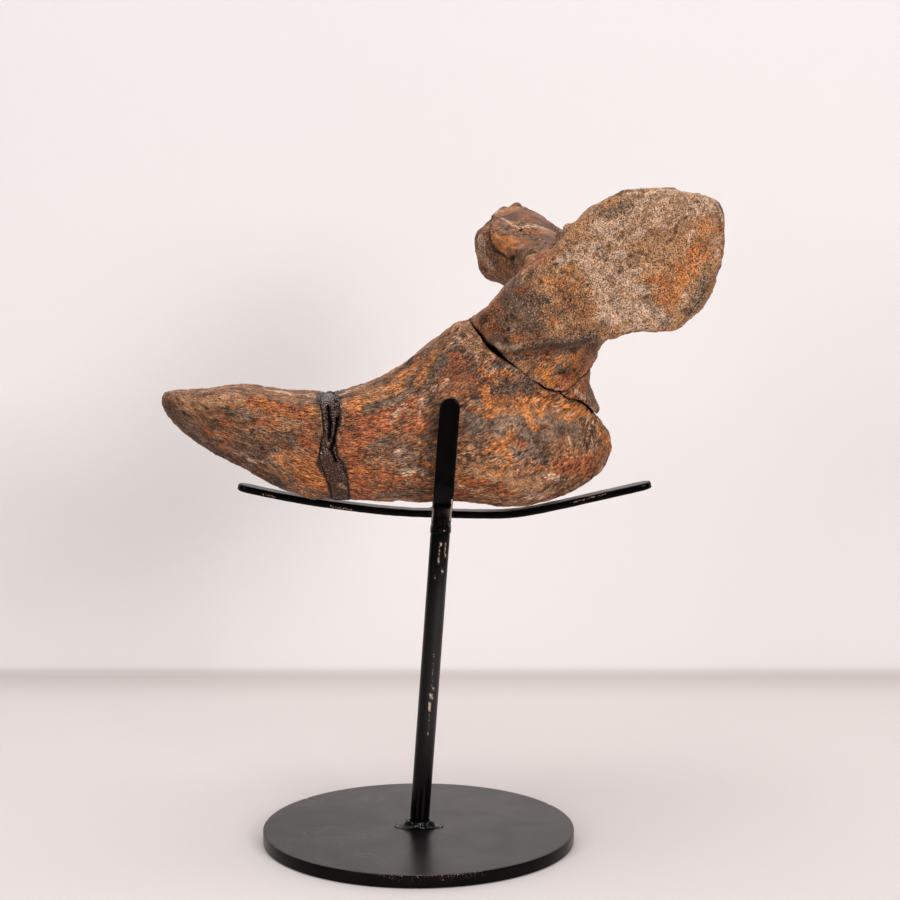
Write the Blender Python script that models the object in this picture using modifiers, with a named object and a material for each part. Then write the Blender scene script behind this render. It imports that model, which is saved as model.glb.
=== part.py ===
"""Fossil vertebra, broken and glued, resting in a black welded cradle stand.

X runs left to right, Y runs front to back and Z is up. The origin is the centre
of the underside of the base disc.
"""
import math

import bmesh
import bpy
from mathutils import Matrix, Vector, noise

mm = 0.001

# stand
base_diameter = 127.0 * mm
base_thickness = 5.2 * mm
post_diameter = 8.0 * mm
post_foot_x = 1.0 * mm
post_top_x = 9.2 * mm
cross_underside = 130.8 * mm
strip_width = 8.0 * mm
strip_thickness = 2.7 * mm
prong_reach = 30.0 * mm
prong_bend_height = 147.0 * mm
prong_tip_height = 185.2 * mm
prong_lean = math.radians(4.2)
long_left_end = -72.2 * mm
long_right_end = 93.4 * mm

# bone
contact_gap = 0.3 * mm
crack_width = 0.5 * mm
blend_voxel = 1.25 * mm
bone_triangles = 4800
filler_recess = 0.7 * mm

for old_object in list(bpy.data.objects):
    bpy.data.objects.remove(old_object, do_unlink=True)

parts = bpy.data.collections.new("fossil_vertebra_on_stand")
cutters = bpy.data.collections.new("cutters")
bpy.context.scene.collection.children.link(parts)
bpy.context.scene.collection.children.link(cutters)


def make_material(name, colour, roughness, metallic):
    material = bpy.data.materials.new(name)
    material.use_nodes = True
    shader = material.node_tree.nodes["Principled BSDF"]
    shader.inputs["Base Color"].default_value = (*colour, 1.0)
    shader.inputs["Roughness"].default_value = roughness
    shader.inputs["Metallic"].default_value = metallic
    return material


def add_object(name, mesh, collection=parts):
    item = bpy.data.objects.new(name, mesh)
    collection.objects.link(item)
    if collection == cutters:
        item.hide_render = True
        item.display_type = "WIRE"
    return item


def bake(item):
    """Replace an object's mesh with its evaluated one and drop its modifiers."""
    bpy.context.view_layer.update()
    graph = bpy.context.evaluated_depsgraph_get()
    mesh = bpy.data.meshes.new_from_object(item.evaluated_get(graph))
    item.modifiers.clear()
    item.data = mesh


def boolean(item, other, operation, solver="EXACT"):
    modifier = item.modifiers.new("boolean", "BOOLEAN")
    modifier.operation = operation
    modifier.object = other
    modifier.solver = solver
    bake(item)


def mesh_from(name, builder):
    """Make a mesh from a bmesh, with its faces pointing out."""
    bmesh.ops.recalc_face_normals(builder, faces=builder.faces)
    mesh = bpy.data.meshes.new(name)
    builder.to_mesh(mesh)
    builder.free()
    return mesh


def loft(builder, rings):
    """Skin closed rings with equal point counts, given in millimetres, and cap both ends."""
    rows = [[builder.verts.new(Vector(point) * mm) for point in ring] for ring in rings]
    count = len(rows[0])
    for lower, upper in zip(rows, rows[1:]):
        for index in range(count):
            following = (index + 1) % count
            builder.faces.new((lower[index], lower[following], upper[following], upper[index]))
    for row in (rows[0], rows[-1]):
        cap = builder.faces.new(row)
        bmesh.ops.triangulate(builder, faces=[cap])


def signed_power(value, exponent):
    return math.copysign(abs(value) ** exponent, value)


def wobble(x, y, z, scale, seed):
    return noise.noise(Vector((x / scale + seed, y / scale - seed, z / scale + 2 * seed)))


# The long body of the bone, cut across its length. Each row is the place along X, the
# middle in Y, the half width, the top, the height of the widest line, the bottom, and how
# square the section is above and below that line. The left end has a flat top, like a deck.
body_sections = (
    (-100.9, -8.5, 3.0, 184.2, 182.6, 180.6, 2.5, 2.0),
    (-99.4, -8.5, 7.0, 185.2, 182.5, 176.6, 3.0, 2.0),
    (-96.0, -8.2, 11.0, 185.0, 182.0, 171.7, 4.0, 2.0),
    (-91.4, -8.0, 14.0, 184.8, 181.5, 167.3, 5.0, 2.0),
    (-84.0, -7.3, 16.5, 185.2, 181.0, 162.5, 5.0, 2.0),
    (-77.0, -6.7, 17.8, 186.5, 181.0, 158.3, 5.0, 2.0),
    (-70.0, -6.1, 18.8, 186.9, 181.0, 154.3, 5.0, 2.0),
    (-60.0, -5.2, 20.0, 185.4, 180.5, 148.3, 5.0, 2.1),
    (-50.0, -4.5, 21.3, 183.9, 179.5, 143.9, 5.0, 2.2),
    (-40.0, -3.8, 22.3, 183.5, 178.5, 141.4, 4.5, 2.3),
    (-30.0, -3.2, 23.0, 184.1, 177.0, 141.0, 4.0, 2.3),
    (-20.0, -2.7, 23.6, 187.2, 176.0, 141.2, 3.2, 2.3),
    (-8.0, -2.2, 24.2, 194.0, 174.0, 140.4, 2.6, 2.3),
    (4.0, -1.5, 24.8, 202.8, 172.0, 140.2, 2.3, 2.3),
    (11.0, -1.0, 25.0, 208.6, 171.0, 140.3, 2.2, 2.3),
    (17.0, -0.6, 25.2, 213.2, 170.0, 140.2, 2.2, 2.3),
    (25.0, 0.0, 25.5, 210.0, 169.0, 139.4, 2.2, 2.3),
    (35.0, 1.0, 25.2, 202.0, 168.0, 137.8, 2.3, 2.3),
    (45.0, 2.2, 24.0, 196.0, 167.0, 137.7, 2.3, 2.2),
    (53.0, 3.2, 22.5, 189.0, 166.5, 139.9, 2.3, 2.2),
    (61.0, 4.2, 20.0, 183.0, 166.0, 143.0, 2.3, 2.2),
    (68.0, 5.0, 16.0, 177.0, 165.0, 146.4, 2.3, 2.1),
    (73.5, 5.6, 11.5, 172.6, 164.0, 150.6, 2.2, 2.0),
    (77.2, 6.0, 6.5, 168.3, 163.2, 156.0, 2.0, 2.0),
    (78.6, 6.2, 2.5, 164.9, 162.6, 160.0, 2.0, 2.0),
)

# The neck. Each row is the left and the right end of a section in X and Z, the middle in Y
# and the half thickness in Y.
neck_sections = (
    ((12.0, 196.0), (66.0, 168.0), 2.0, 20.0),
    ((20.0, 213.0), (74.2, 176.0), 2.0, 22.5),
    ((27.0, 217.6), (68.3, 187.4), 3.0, 23.5),
    ((34.5, 226.0), (69.6, 195.5), 6.0, 24.0),
    ((42.0, 233.2), (74.0, 203.0), 10.0, 24.0),
    ((50.5, 240.0), (84.0, 212.0), 14.0, 23.0),
    ((58.0, 246.0), (92.0, 222.0), 16.0, 16.0),
    ((66.0, 246.0), (88.0, 232.0), 17.0, 8.0),
)

# The outline of the near process in X and Z, from its lower left corner clockwise as seen
# from the front.
near_outline = (
    (36.5, 200.6), (31.0, 203.4), (26.4, 207.8), (22.6, 212.6), (26.0, 216.8), (30.8, 221.0),
    (34.8, 227.0), (39.0, 231.6), (46.4, 236.6), (53.0, 242.8),
    (60.5, 252.2), (66.3, 257.9), (73.1, 262.1), (79.4, 264.4), (87.0, 265.2), (95.7, 265.8),
    (103.9, 264.4), (112.6, 262.1), (116.6, 259.9), (118.4, 254.6), (118.8, 249.5),
    (118.1, 243.0), (116.6, 235.0), (114.6, 227.0), (110.2, 219.4), (104.0, 214.2),
    (98.8, 210.4), (91.3, 210.4), (83.6, 210.5), (77.0, 208.3), (70.0, 206.8), (60.0, 204.4),
    (50.0, 202.4), (42.0, 200.8),
)

# The outline of the far process, along its own width and in Z, seen the same way.
far_outline = (
    (-31.0, 237.0), (-31.4, 242.5), (-29.8, 246.4), (-25.6, 248.8), (-19.6, 252.0),
    (-15.0, 254.8), (-10.7, 255.8), (-6.8, 254.2), (-0.5, 249.8), (6.0, 246.4), (14.0, 244.5),
    (22.0, 240.0), (26.0, 232.0), (24.0, 222.0), (16.0, 215.0), (4.0, 212.5), (-8.0, 216.0),
    (-16.6, 221.6), (-21.0, 223.6), (-26.2, 225.4), (-29.4, 230.4),
)


def body_rings(points=32):
    rings = []
    for x, middle, half, top, widest, bottom, square_up, square_down in body_sections:
        ring = []
        for index in range(points):
            angle = 2 * math.pi * index / points
            upper = math.sin(angle) >= 0
            power = 2.0 / (square_up if upper else square_down)
            reach = top - widest if upper else widest - bottom
            y = middle + half * signed_power(math.cos(angle), power)
            z = widest + reach * signed_power(math.sin(angle), power)
            ring.append((x, y, z))
        rings.append(ring)
    return rings


def neck_rings(points=28, squareness=2.4):
    rings = []
    for left, right, middle, half in neck_sections:
        centre_x = (left[0] + right[0]) / 2
        centre_z = (left[1] + right[1]) / 2
        ring = []
        for index in range(points):
            angle = 2 * math.pi * index / points
            along = signed_power(math.cos(angle), 2.0 / squareness)
            across = signed_power(math.sin(angle), 2.0 / squareness)
            x = centre_x + along * (right[0] - left[0]) / 2
            z = centre_z + along * (right[1] - left[1]) / 2
            ring.append((x, middle + half * across, z))
        rings.append(ring)
    return rings


def near_face(x):
    """Y of the near process's broad front face, which bows towards the viewer."""
    return -34.0 + 0.0048 * (x - 88.0) ** 2


def near_rings():
    # size of the outline, the point in X and Z that it shrinks to, depth behind the face
    steps = (
        (0.35, (84.0, 236.0), 1.6), (0.70, (84.0, 236.0), 0.9), (0.93, (84.0, 236.0), 0.2),
        (0.985, (84.0, 236.0), 1.6), (1.0, (84.0, 236.0), 4.5), (0.99, (80.0, 234.0), 10.0),
        (0.93, (76.0, 233.0), 16.0), (0.78, (68.0, 229.0), 25.0), (0.55, (62.0, 224.0), 38.0),
    )
    rings = []
    for size, target, depth in steps:
        ring = []
        for x, z in near_outline:
            place_x = target[0] + size * (x - target[0])
            place_z = target[1] + size * (z - target[1])
            ring.append((place_x, near_face(place_x) + depth, place_z))
        rings.append(ring)
    return rings


def far_rings():
    # size of the outline, its middle in X and Y, the height that it shrinks to
    along = Vector((0.778, 0.628))
    steps = (
        (0.35, (45.5, 74.5), 238.0), (0.72, (45.0, 75.5), 238.0), (0.94, (45.5, 75.0), 238.0),
        (0.99, (47.5, 72.4), 238.0), (1.0, (50.0, 69.0), 238.0), (0.98, (54.0, 64.0), 238.0),
        (0.90, (57.0, 58.0), 237.0), (0.76, (59.0, 48.0), 234.0), (0.66, (60.0, 36.0), 230.0),
        (0.60, (60.0, 22.0), 227.0), (0.50, (60.0, 8.0), 224.0),
    )
    rings = []
    for size, middle, height in steps:
        ring = []
        for s, z in far_outline:
            x = middle[0] + along.x * s * size
            y = middle[1] + along.y * s * size
            ring.append((x, y, height + size * (z - 238.0)))
        rings.append(ring)
    return rings


def weather(mesh):
    """Broad worn lumps and hollows, with coarser ones on the spongy end of the processes."""
    places = [vertex.co.copy() for vertex in mesh.vertices]
    normals = [vertex.normal.copy() for vertex in mesh.vertices]
    for place, normal in zip(places, normals):
        x, y, z = place / mm
        spongy = 1.0 if z > 205.0 and (y < -22.0 or y > 52.0) else 0.0
        lump = 0.55 * wobble(x, y, z, 17.0, 3.1) + 0.35 * wobble(x * 0.6, y, z, 7.5, 8.7)
        lump += spongy * 0.45 * wobble(x, y, z, 4.6, 5.3)
        place += normal * lump * mm
    mesh.vertices.foreach_set("co", [value for place in places for value in place])
    mesh.update()


def whole_bone():
    builder = bmesh.new()
    for rings in (body_rings(), neck_rings(), near_rings(), far_rings()):
        part = bmesh.new()
        loft(part, rings)
        bmesh.ops.recalc_face_normals(part, faces=part.faces)
        piece = bpy.data.meshes.new("loft")
        part.to_mesh(piece)
        part.free()
        builder.from_mesh(piece)
        bpy.data.meshes.remove(piece)
    mesh = bpy.data.meshes.new("whole_bone")
    builder.to_mesh(mesh)
    builder.free()
    bone = add_object("whole_bone", mesh, cutters)
    remesh = bone.modifiers.new("blend", "REMESH")
    remesh.mode = "VOXEL"
    remesh.voxel_size = blend_voxel
    smooth = bone.modifiers.new("soften", "SMOOTH")
    smooth.factor = 0.5
    smooth.iterations = 7
    bake(bone)
    weather(bone.data)
    decimate = bone.modifiers.new("reduce", "DECIMATE")
    bone.data.calc_loop_triangles()
    decimate.ratio = bone_triangles / len(bone.data.loop_triangles)
    bake(bone)
    return bone


def crack_wall(name, path, widths, depths, seed, sway=0.8):
    """A thin jagged wall along a crack line in X and Z, running back through the bone."""
    builder = bmesh.new()
    rings = []
    for y in depths:
        shift = sway * wobble(0.0, y, 0.0, 9.0, seed)
        rise = sway * wobble(0.0, y, 0.0, 9.0, seed + 4.0)
        centre = [Vector((x + shift, z + rise)) for x, z in path]
        near_side = []
        far_side = []
        for index, point in enumerate(centre):
            before = centre[max(index - 1, 0)]
            after = centre[min(index + 1, len(centre) - 1)]
            along = (after - before).normalized()
            across = Vector((-along.y, along.x))
            half = widths[index] / 2
            near_side.append(point + across * half)
            far_side.append(point - across * half)
        ring = near_side + far_side[::-1]
        rings.append([(point.x, y, point.y) for point in ring])
    loft(builder, rings)
    return add_object(name, mesh_from(name, builder), cutters)


def band_prism(name, inset, depths=(-42, -30, -20, -10, 0, 10, 20, 32)):
    """The break that the black filler closes, as a slab across the bone."""
    left_line = ((-39.6, 194.0), (-38.9, 186.5), (-37.7, 181.5), (-36.6, 176.5), (-36.2, 171.5),
                 (-37.6, 166.5), (-38.3, 161.0), (-37.2, 156.5), (-35.8, 151.5), (-34.2, 146.5),
                 (-33.2, 136.0))
    right_line = ((-32.4, 194.0), (-32.6, 186.5), (-30.3, 181.5), (-30.2, 176.5), (-31.2, 171.5),
                  (-32.0, 166.5), (-31.0, 161.0), (-28.2, 156.5), (-27.6, 151.5), (-27.4, 146.5),
                  (-26.8, 136.0))
    rings = []
    for y in depths:
        left_sway = 0.9 * wobble(0.0, y, 0.0, 8.0, 1.3)
        right_sway = 0.9 * wobble(0.0, y, 0.0, 8.0, 6.1)
        left = [(x + inset + left_sway, y, z) for x, z in left_line]
        right = [(x - inset + right_sway, y, z) for x, z in right_line]
        rings.append(left + right[::-1])
    builder = bmesh.new()
    loft(builder, rings)
    return add_object(name, mesh_from(name, builder), cutters)


def islands(item):
    """The separate closed bodies of one mesh, as new meshes sorted by size."""
    source = bmesh.new()
    source.from_mesh(item.data)
    source.faces.ensure_lookup_table()
    unseen = set(source.faces)
    groups = []
    while unseen:
        stack = [unseen.pop()]
        group = set(stack)
        while stack:
            face = stack.pop()
            for edge in face.edges:
                for neighbour in edge.link_faces:
                    if neighbour in unseen:
                        unseen.discard(neighbour)
                        group.add(neighbour)
                        stack.append(neighbour)
        groups.append({face.index for face in group})
    source.free()
    meshes = []
    for group in groups:
        piece = bmesh.new()
        piece.from_mesh(item.data)
        piece.faces.ensure_lookup_table()
        doomed = [face for face in piece.faces if face.index not in group]
        bmesh.ops.delete(piece, geom=doomed, context="FACES")
        volume = abs(piece.calc_volume())
        mesh = bpy.data.meshes.new("fragment")
        piece.to_mesh(mesh)
        piece.free()
        meshes.append((volume, mesh))
    meshes.sort(key=lambda entry: -entry[0])
    return meshes


def centre_of(mesh):
    total = Vector((0.0, 0.0, 0.0))
    for vertex in mesh.vertices:
        total += vertex.co
    return total / len(mesh.vertices) / mm


def clean(mesh, distance=0.00002):
    """Close up the hair-thin faces that a cut leaves, and drop the flakes without volume."""
    builder = bmesh.new()
    builder.from_mesh(mesh)
    bmesh.ops.triangulate(builder, faces=builder.faces)
    bmesh.ops.dissolve_degenerate(builder, dist=distance, edges=builder.edges)
    bmesh.ops.triangulate(builder, faces=builder.faces)
    twins = {}
    for face in builder.faces:
        twins.setdefault(frozenset(vertex.index for vertex in face.verts), []).append(face)
    flakes = [face for faces in twins.values() if len(faces) > 1 for face in faces]
    bmesh.ops.delete(builder, geom=flakes, context="FACES")
    builder.to_mesh(mesh)
    builder.free()


def build_bone():
    bone = whole_bone()

    # black filler between the left piece and the main piece, a little below the surface
    filler = add_object("repair_band", bone.data.copy())
    normals = [vertex.normal.copy() for vertex in filler.data.vertices]
    for vertex, normal in zip(filler.data.vertices, normals):
        x, y, z = vertex.co / mm
        depth = filler_recess + 0.5 * mm * wobble(x, y, z, 3.4, 2.2)
        if y < -14.0 and 163.0 < z < 182.0:
            depth += 0.9 * mm
        vertex.co -= normal * depth
    boolean(filler, band_prism("filler_slab", contact_gap / mm), "INTERSECT")
    boolean(bone, band_prism("break_slab", 0.0), "DIFFERENCE")

    thin = crack_width / mm
    # the crack that parts the far process from the neck, running left to right at the saddle
    far_plane = []
    for height in (196, 206, 214, 222, 230, 238, 246, 256, 268):
        row = []
        for x in (20, 32, 40, 48, 56, 66, 78, 92, 108):
            y = 27.5 - 0.10 * (x - 40.0) + 1.3 * wobble(x, 0.0, 0.0, 8.0, 7.7)
            row.append((x, y + 1.3 * wobble(0.0, 0.0, height, 8.0, 7.7), height))
        far_plane.append(row)
    rings = []
    for row in far_plane:
        front = [(x, y - thin / 2, z) for x, y, z in row]
        rear = [(x, y + thin / 2, z) for x, y, z in row]
        rings.append(front + rear[::-1])
    builder = bmesh.new()
    loft(builder, rings)
    saddle = add_object("saddle_crack", mesh_from("saddle_crack", builder), cutters)
    boolean(bone, saddle, "DIFFERENCE", solver="MANIFOLD")
    clean(bone.data)

    # the long diagonal crack, wide open where it is dark, then the crack above the chip
    depths = (-52, -30, -22, -14, -6, 2, 10, 18, 26, 38, 60)
    main_line = ((8.0, 226.0), (20.7, 213.4), (22.7, 210.6), (25.8, 207.2), (27.7, 204.4),
                 (30.7, 201.9), (33.6, 199.1), (37.0, 197.0), (40.3, 195.2), (42.9, 192.3),
                 (46.3, 190.6), (50.1, 187.6), (52.7, 186.6), (55.2, 186.1), (58.6, 186.6),
                 (60.8, 188.2), (63.0, 189.6), (65.3, 191.2), (68.0, 193.0), (84.0, 203.0))
    widths = (thin, thin, 0.7, 1.0, 2.0, 2.2, 1.6, 1.0, thin, thin, thin, 0.9, 0.7, 0.7,
              thin, thin, thin, thin, thin, thin)
    boolean(bone, crack_wall("long_crack", main_line, widths, depths, 2.7), "DIFFERENCE")
    clean(bone.data)
    chip_line = ((53.2, 188.6), (56.6, 185.2), (59.9, 182.9), (63.9, 181.9), (66.1, 180.4),
                 (68.9, 177.6), (71.3, 175.4), (82.0, 166.0))
    chip_widths = (thin, thin, thin, 0.8, 0.7, 0.9, 0.9, 0.9)
    boolean(bone, crack_wall("chip_crack", chip_line, chip_widths, depths, 2.7), "DIFFERENCE")
    clean(bone.data)

    pieces = [mesh for volume, mesh in islands(bone) if volume > 40 * mm ** 3]
    names = {}
    for mesh in pieces:
        centre = centre_of(mesh)
        if centre.x < -38:
            name = "spine_fragment"
        elif centre.y > 34:
            name = "far_process_fragment"
        elif centre.z > 205:
            name = "arch_fragment"
        elif centre.x > 58:
            name = "wedge_chip"
        else:
            name = "body_fragment"
        names.setdefault(name, []).append(mesh)
    for name, found in names.items():
        add_object(name, found[0])
    cutters.objects.unlink(bone)
    bpy.data.objects.remove(bone)
    for name in list(names) + ["repair_band"]:
        clean(bpy.data.objects[name].data)


def bar(name, path, side, ends_round=True):
    """A flat bar bent along a path, with round ends. side is the direction of its width."""
    radius = strip_width / 2
    lengths = [0.0]
    for before, after in zip(path, path[1:]):
        lengths.append(lengths[-1] + (after - before).length)
    total = lengths[-1]

    def point_at(distance):
        for index in range(1, len(path)):
            if distance <= lengths[index] or index == len(path) - 1:
                share = (distance - lengths[index - 1]) / (lengths[index] - lengths[index - 1])
                return path[index - 1].lerp(path[index], share)

    stations = [0.0, radius * 0.08, radius * 0.3, radius * 0.62, radius]
    stations += [length for length in lengths if radius * 1.2 < length < total - radius * 1.2]
    stations += [total - station for station in stations[4::-1]]
    builder = bmesh.new()
    rows = []
    for distance in stations:
        reach = min(distance, total - distance)
        half = radius
        if reach < radius:
            half = math.sqrt(max(radius ** 2 - (radius - reach) ** 2, 0.0))
            half = max(half, radius * 0.22)
        middle = point_at(distance)
        rows.append([builder.verts.new(middle + side * half * share) for share in (-1, 0, 1)])
    for row, following in zip(rows, rows[1:]):
        for index in range(2):
            corners = (row[index], row[index + 1], following[index + 1], following[index])
            builder.faces.new(corners)
    item = add_object(name, mesh_from(name, builder))
    solidify = item.modifiers.new("thickness", "SOLIDIFY")
    solidify.thickness = strip_thickness
    solidify.offset = 0.0
    solidify.use_even_offset = True
    bevel = item.modifiers.new("broken edges", "BEVEL")
    bevel.width = 0.45 * mm
    bevel.segments = 1
    bevel.limit_method = "ANGLE"
    bevel.angle_limit = math.radians(50)
    bake(item)
    return item


def smooth_path(points, steps):
    """A path through the given points that rounds each bend."""
    path = []
    count = len(points)
    for index in range(count - 1):
        before = points[max(index - 1, 0)]
        start = points[index]
        end = points[index + 1]
        after = points[min(index + 2, count - 1)]
        for step in range(steps):
            t = step / steps
            path.append(0.5 * (2 * start + (end - before) * t
                               + (2 * before - 5 * start + 4 * end - after) * t * t
                               + (3 * start - before - 3 * end + after) * t ** 3))
    path.append(points[-1])
    return path


def build_cradle():
    half = strip_thickness / 2
    cross_middle = cross_underside + half
    long_middle = cross_underside + strip_thickness + contact_gap + half

    # the strip from front to back, bent up into two prongs that lean with the post
    def prong(sign):
        slope = math.tan(math.radians(29))
        rows = ((0.0, 0.0), (5.5, 0.0), (10.0, 0.7), (18.0, (18.0 - 7.5) * slope),
                (25.5, (25.5 - 7.5) * slope), (28.6, 13.2), (29.6, 17.5))
        points = [Vector((post_top_x, sign * y * mm, cross_middle + z * mm)) for y, z in rows]
        for share in (0.35, 0.7, 1.0):
            z = prong_bend_height + share * (prong_tip_height - prong_bend_height)
            points.append(Vector((post_top_x, sign * prong_reach, z)))
        for point in points:
            point.x += (point.z - cross_middle) * math.tan(prong_lean)
        return points

    front = prong(-1)
    rear = prong(1)
    path = smooth_path(front[::-1] + rear[1:], 3)
    bar("cradle_cross_strip", path, Vector((1.0, 0.0, 0.0)))

    # the strip from left to right, curving up on the left and bent up on the right
    rows = ((long_left_end / mm, 10.8), (-60.0, 8.1), (-46.0, 5.4), (-32.5, 3.4), (-16.0, 1.35),
            (-2.0, 0.25), (9.3, 0.0), (24.0, -0.4), (34.0, -0.4), (40.0, 0.1), (46.0, 1.1),
            (56.0, 3.1), (75.0, 7.5), (long_right_end / mm, 11.7))
    points = [Vector((x * mm, 0.0, long_middle + z * mm)) for x, z in rows]
    bar("cradle_long_strip", smooth_path(points, 2), Vector((0.0, 1.0, 0.0)))


def cylinder(name, diameter, bottom, top, sides, collection=parts):
    bpy.ops.mesh.primitive_cylinder_add(vertices=sides, radius=diameter / 2,
                                        depth=top - bottom, location=(0, 0, (top + bottom) / 2))
    item = bpy.context.active_object
    item.name = name
    item.data.transform(item.matrix_world)
    item.matrix_world = Matrix.Identity(4)
    for holder in list(item.users_collection):
        holder.objects.unlink(item)
    collection.objects.link(item)
    if collection == cutters:
        item.hide_render = True
        item.display_type = "WIRE"
    return item


def turned(name, profile, sides):
    """Turn a profile of radius and height, listed top to bottom, about the Z axis."""
    mesh = bpy.data.meshes.new(name)
    points = [(radius, 0.0, height) for radius, height in profile]
    edges = [(index, index + 1) for index in range(len(points) - 1)]
    mesh.from_pydata(points, edges, [])
    item = add_object(name, mesh)
    screw = item.modifiers.new("turn", "SCREW")
    screw.steps = sides
    screw.render_steps = sides
    screw.use_merge_vertices = True
    screw.merge_threshold = 0.00001
    bake(item)
    builder = bmesh.new()
    builder.from_mesh(item.data)
    bmesh.ops.remove_doubles(builder, verts=builder.verts, dist=0.00001)
    item.data = mesh_from(name, builder)
    return item


def lean(item):
    """Lean a piece with the post, keeping its level ends level."""
    bottom = base_thickness + contact_gap
    top = cross_underside - contact_gap
    slope = (post_top_x - post_foot_x) / (top - bottom)
    for vertex in item.data.vertices:
        vertex.co.x += post_foot_x + (vertex.co.z - bottom) * slope


def build_post_and_base():
    bottom = base_thickness + contact_gap
    top = cross_underside - contact_gap
    radius = post_diameter / 2
    profile = ((0.0, top), (radius - 0.5 * mm, top), (radius, top - 4.0 * mm),
               (radius, bottom + 4.2 * mm), (radius - 0.75 * mm, bottom), (0.0, bottom))
    post = turned("post", profile, 32)
    lean(post)

    disc = cylinder("base_disc", base_diameter, 0.0, base_thickness, 96)
    bevel = disc.modifiers.new("broken edge", "BEVEL")
    bevel.width = 0.5 * mm
    bevel.segments = 1
    bevel.limit_method = "ANGLE"
    bake(disc)


def weld_bead(name, bottom, top, radii, stretch, seed, upside_down=False):
    """A lumpy bead turned round the post from a few radii, open in the middle for the rod."""
    builder = bmesh.new()
    sides = 28
    rows = []
    levels = len(radii)
    for level, radius in enumerate(radii):
        share = level / (levels - 1)
        z = top - share * (top - bottom) if upside_down else bottom + share * (top - bottom)
        ring = []
        for index in range(sides):
            angle = 2 * math.pi * index / sides
            reach = radius * (1.0 + 0.14 * wobble(math.cos(angle) * 9, math.sin(angle) * 9,
                                                  level * 1.5, 5.0, seed))
            x = math.cos(angle) * (reach + stretch * radius * abs(math.cos(angle)) ** 3)
            y = math.sin(angle) * reach
            ring.append((x / mm, y / mm, z / mm))
        rows.append(ring)
    loft(builder, rows)
    item = add_object(name, mesh_from(name, builder))
    lean(item)
    hole = cylinder(name + "_hole", post_diameter + 2 * contact_gap, 0.0, 140 * mm, 32, cutters)
    lean(hole)
    boolean(item, hole, "DIFFERENCE")
    clean(item.data)
    return item


def build_welds():
    foot_bottom = base_thickness + contact_gap
    weld_bead("foot_weld", foot_bottom, foot_bottom + 2.7 * mm,
              (8.6 * mm, 8.0 * mm, 6.5 * mm, 5.4 * mm, 4.8 * mm), 0.27, 4.4)
    collar_top = cross_underside - contact_gap
    weld_bead("top_weld", collar_top - 3.4 * mm, collar_top,
              (5.0 * mm, 5.05 * mm, 5.0 * mm, 4.8 * mm), 0.0, 9.2, upside_down=True)

    # the two beads that hold the long strip down on the cross strip
    for name, side in (("cross_weld_front", -1), ("cross_weld_rear", 1)):
        bpy.ops.mesh.primitive_uv_sphere_add(segments=12, ring_count=8, radius=1.4 * mm)
        bead = bpy.context.active_object
        bead.name = name
        for vertex in bead.data.vertices:
            x, y, z = vertex.co / mm
            vertex.co *= 1.0 + 0.22 * wobble(x * 5, y * 5, z * 5, 4.0, 3.3 * side)
            vertex.co.x *= 4.0
            vertex.co.x += post_top_x
            vertex.co.y += side * (strip_width / 2 + contact_gap + 1.6 * mm)
            vertex.co.z += cross_underside + strip_thickness + contact_gap + 1.9 * mm
        for holder in list(bead.users_collection):
            holder.objects.unlink(bead)
        parts.objects.link(bead)


def paint():
    bone = {
        "spine_fragment": (0.20, 0.11, 0.065),
        "body_fragment": (0.23, 0.105, 0.055),
        "wedge_chip": (0.24, 0.10, 0.055),
        "arch_fragment": (0.27, 0.16, 0.10),
        "far_process_fragment": (0.24, 0.15, 0.10),
    }
    for name, colour in bone.items():
        material = make_material(name + "_bone", colour, 0.72, 0.0)
        bpy.data.objects[name].data.materials.clear()
        bpy.data.objects[name].data.materials.append(material)
    filler = make_material("black_filler", (0.018, 0.014, 0.014), 0.32, 0.0)
    bpy.data.objects["repair_band"].data.materials.clear()
    bpy.data.objects["repair_band"].data.materials.append(filler)
    for name in ("cradle_long_strip", "cradle_cross_strip", "post", "base_disc", "foot_weld",
                 "top_weld", "cross_weld_front", "cross_weld_rear"):
        material = make_material(name + "_coat", (0.022, 0.021, 0.022), 0.42, 0.0)
        bpy.data.objects[name].data.materials.clear()
        bpy.data.objects[name].data.materials.append(material)


def shade():
    for item in parts.objects:
        for polygon in item.data.polygons:
            polygon.use_smooth = True
        item.data.set_sharp_from_angle(angle=math.radians(38))


build_bone()
build_cradle()
build_post_and_base()
build_welds()
paint()
shade()
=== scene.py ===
import math
import random
import bpy
import numpy as np
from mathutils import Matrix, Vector, noise
from mathutils.bvhtree import BVHTree


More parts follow.
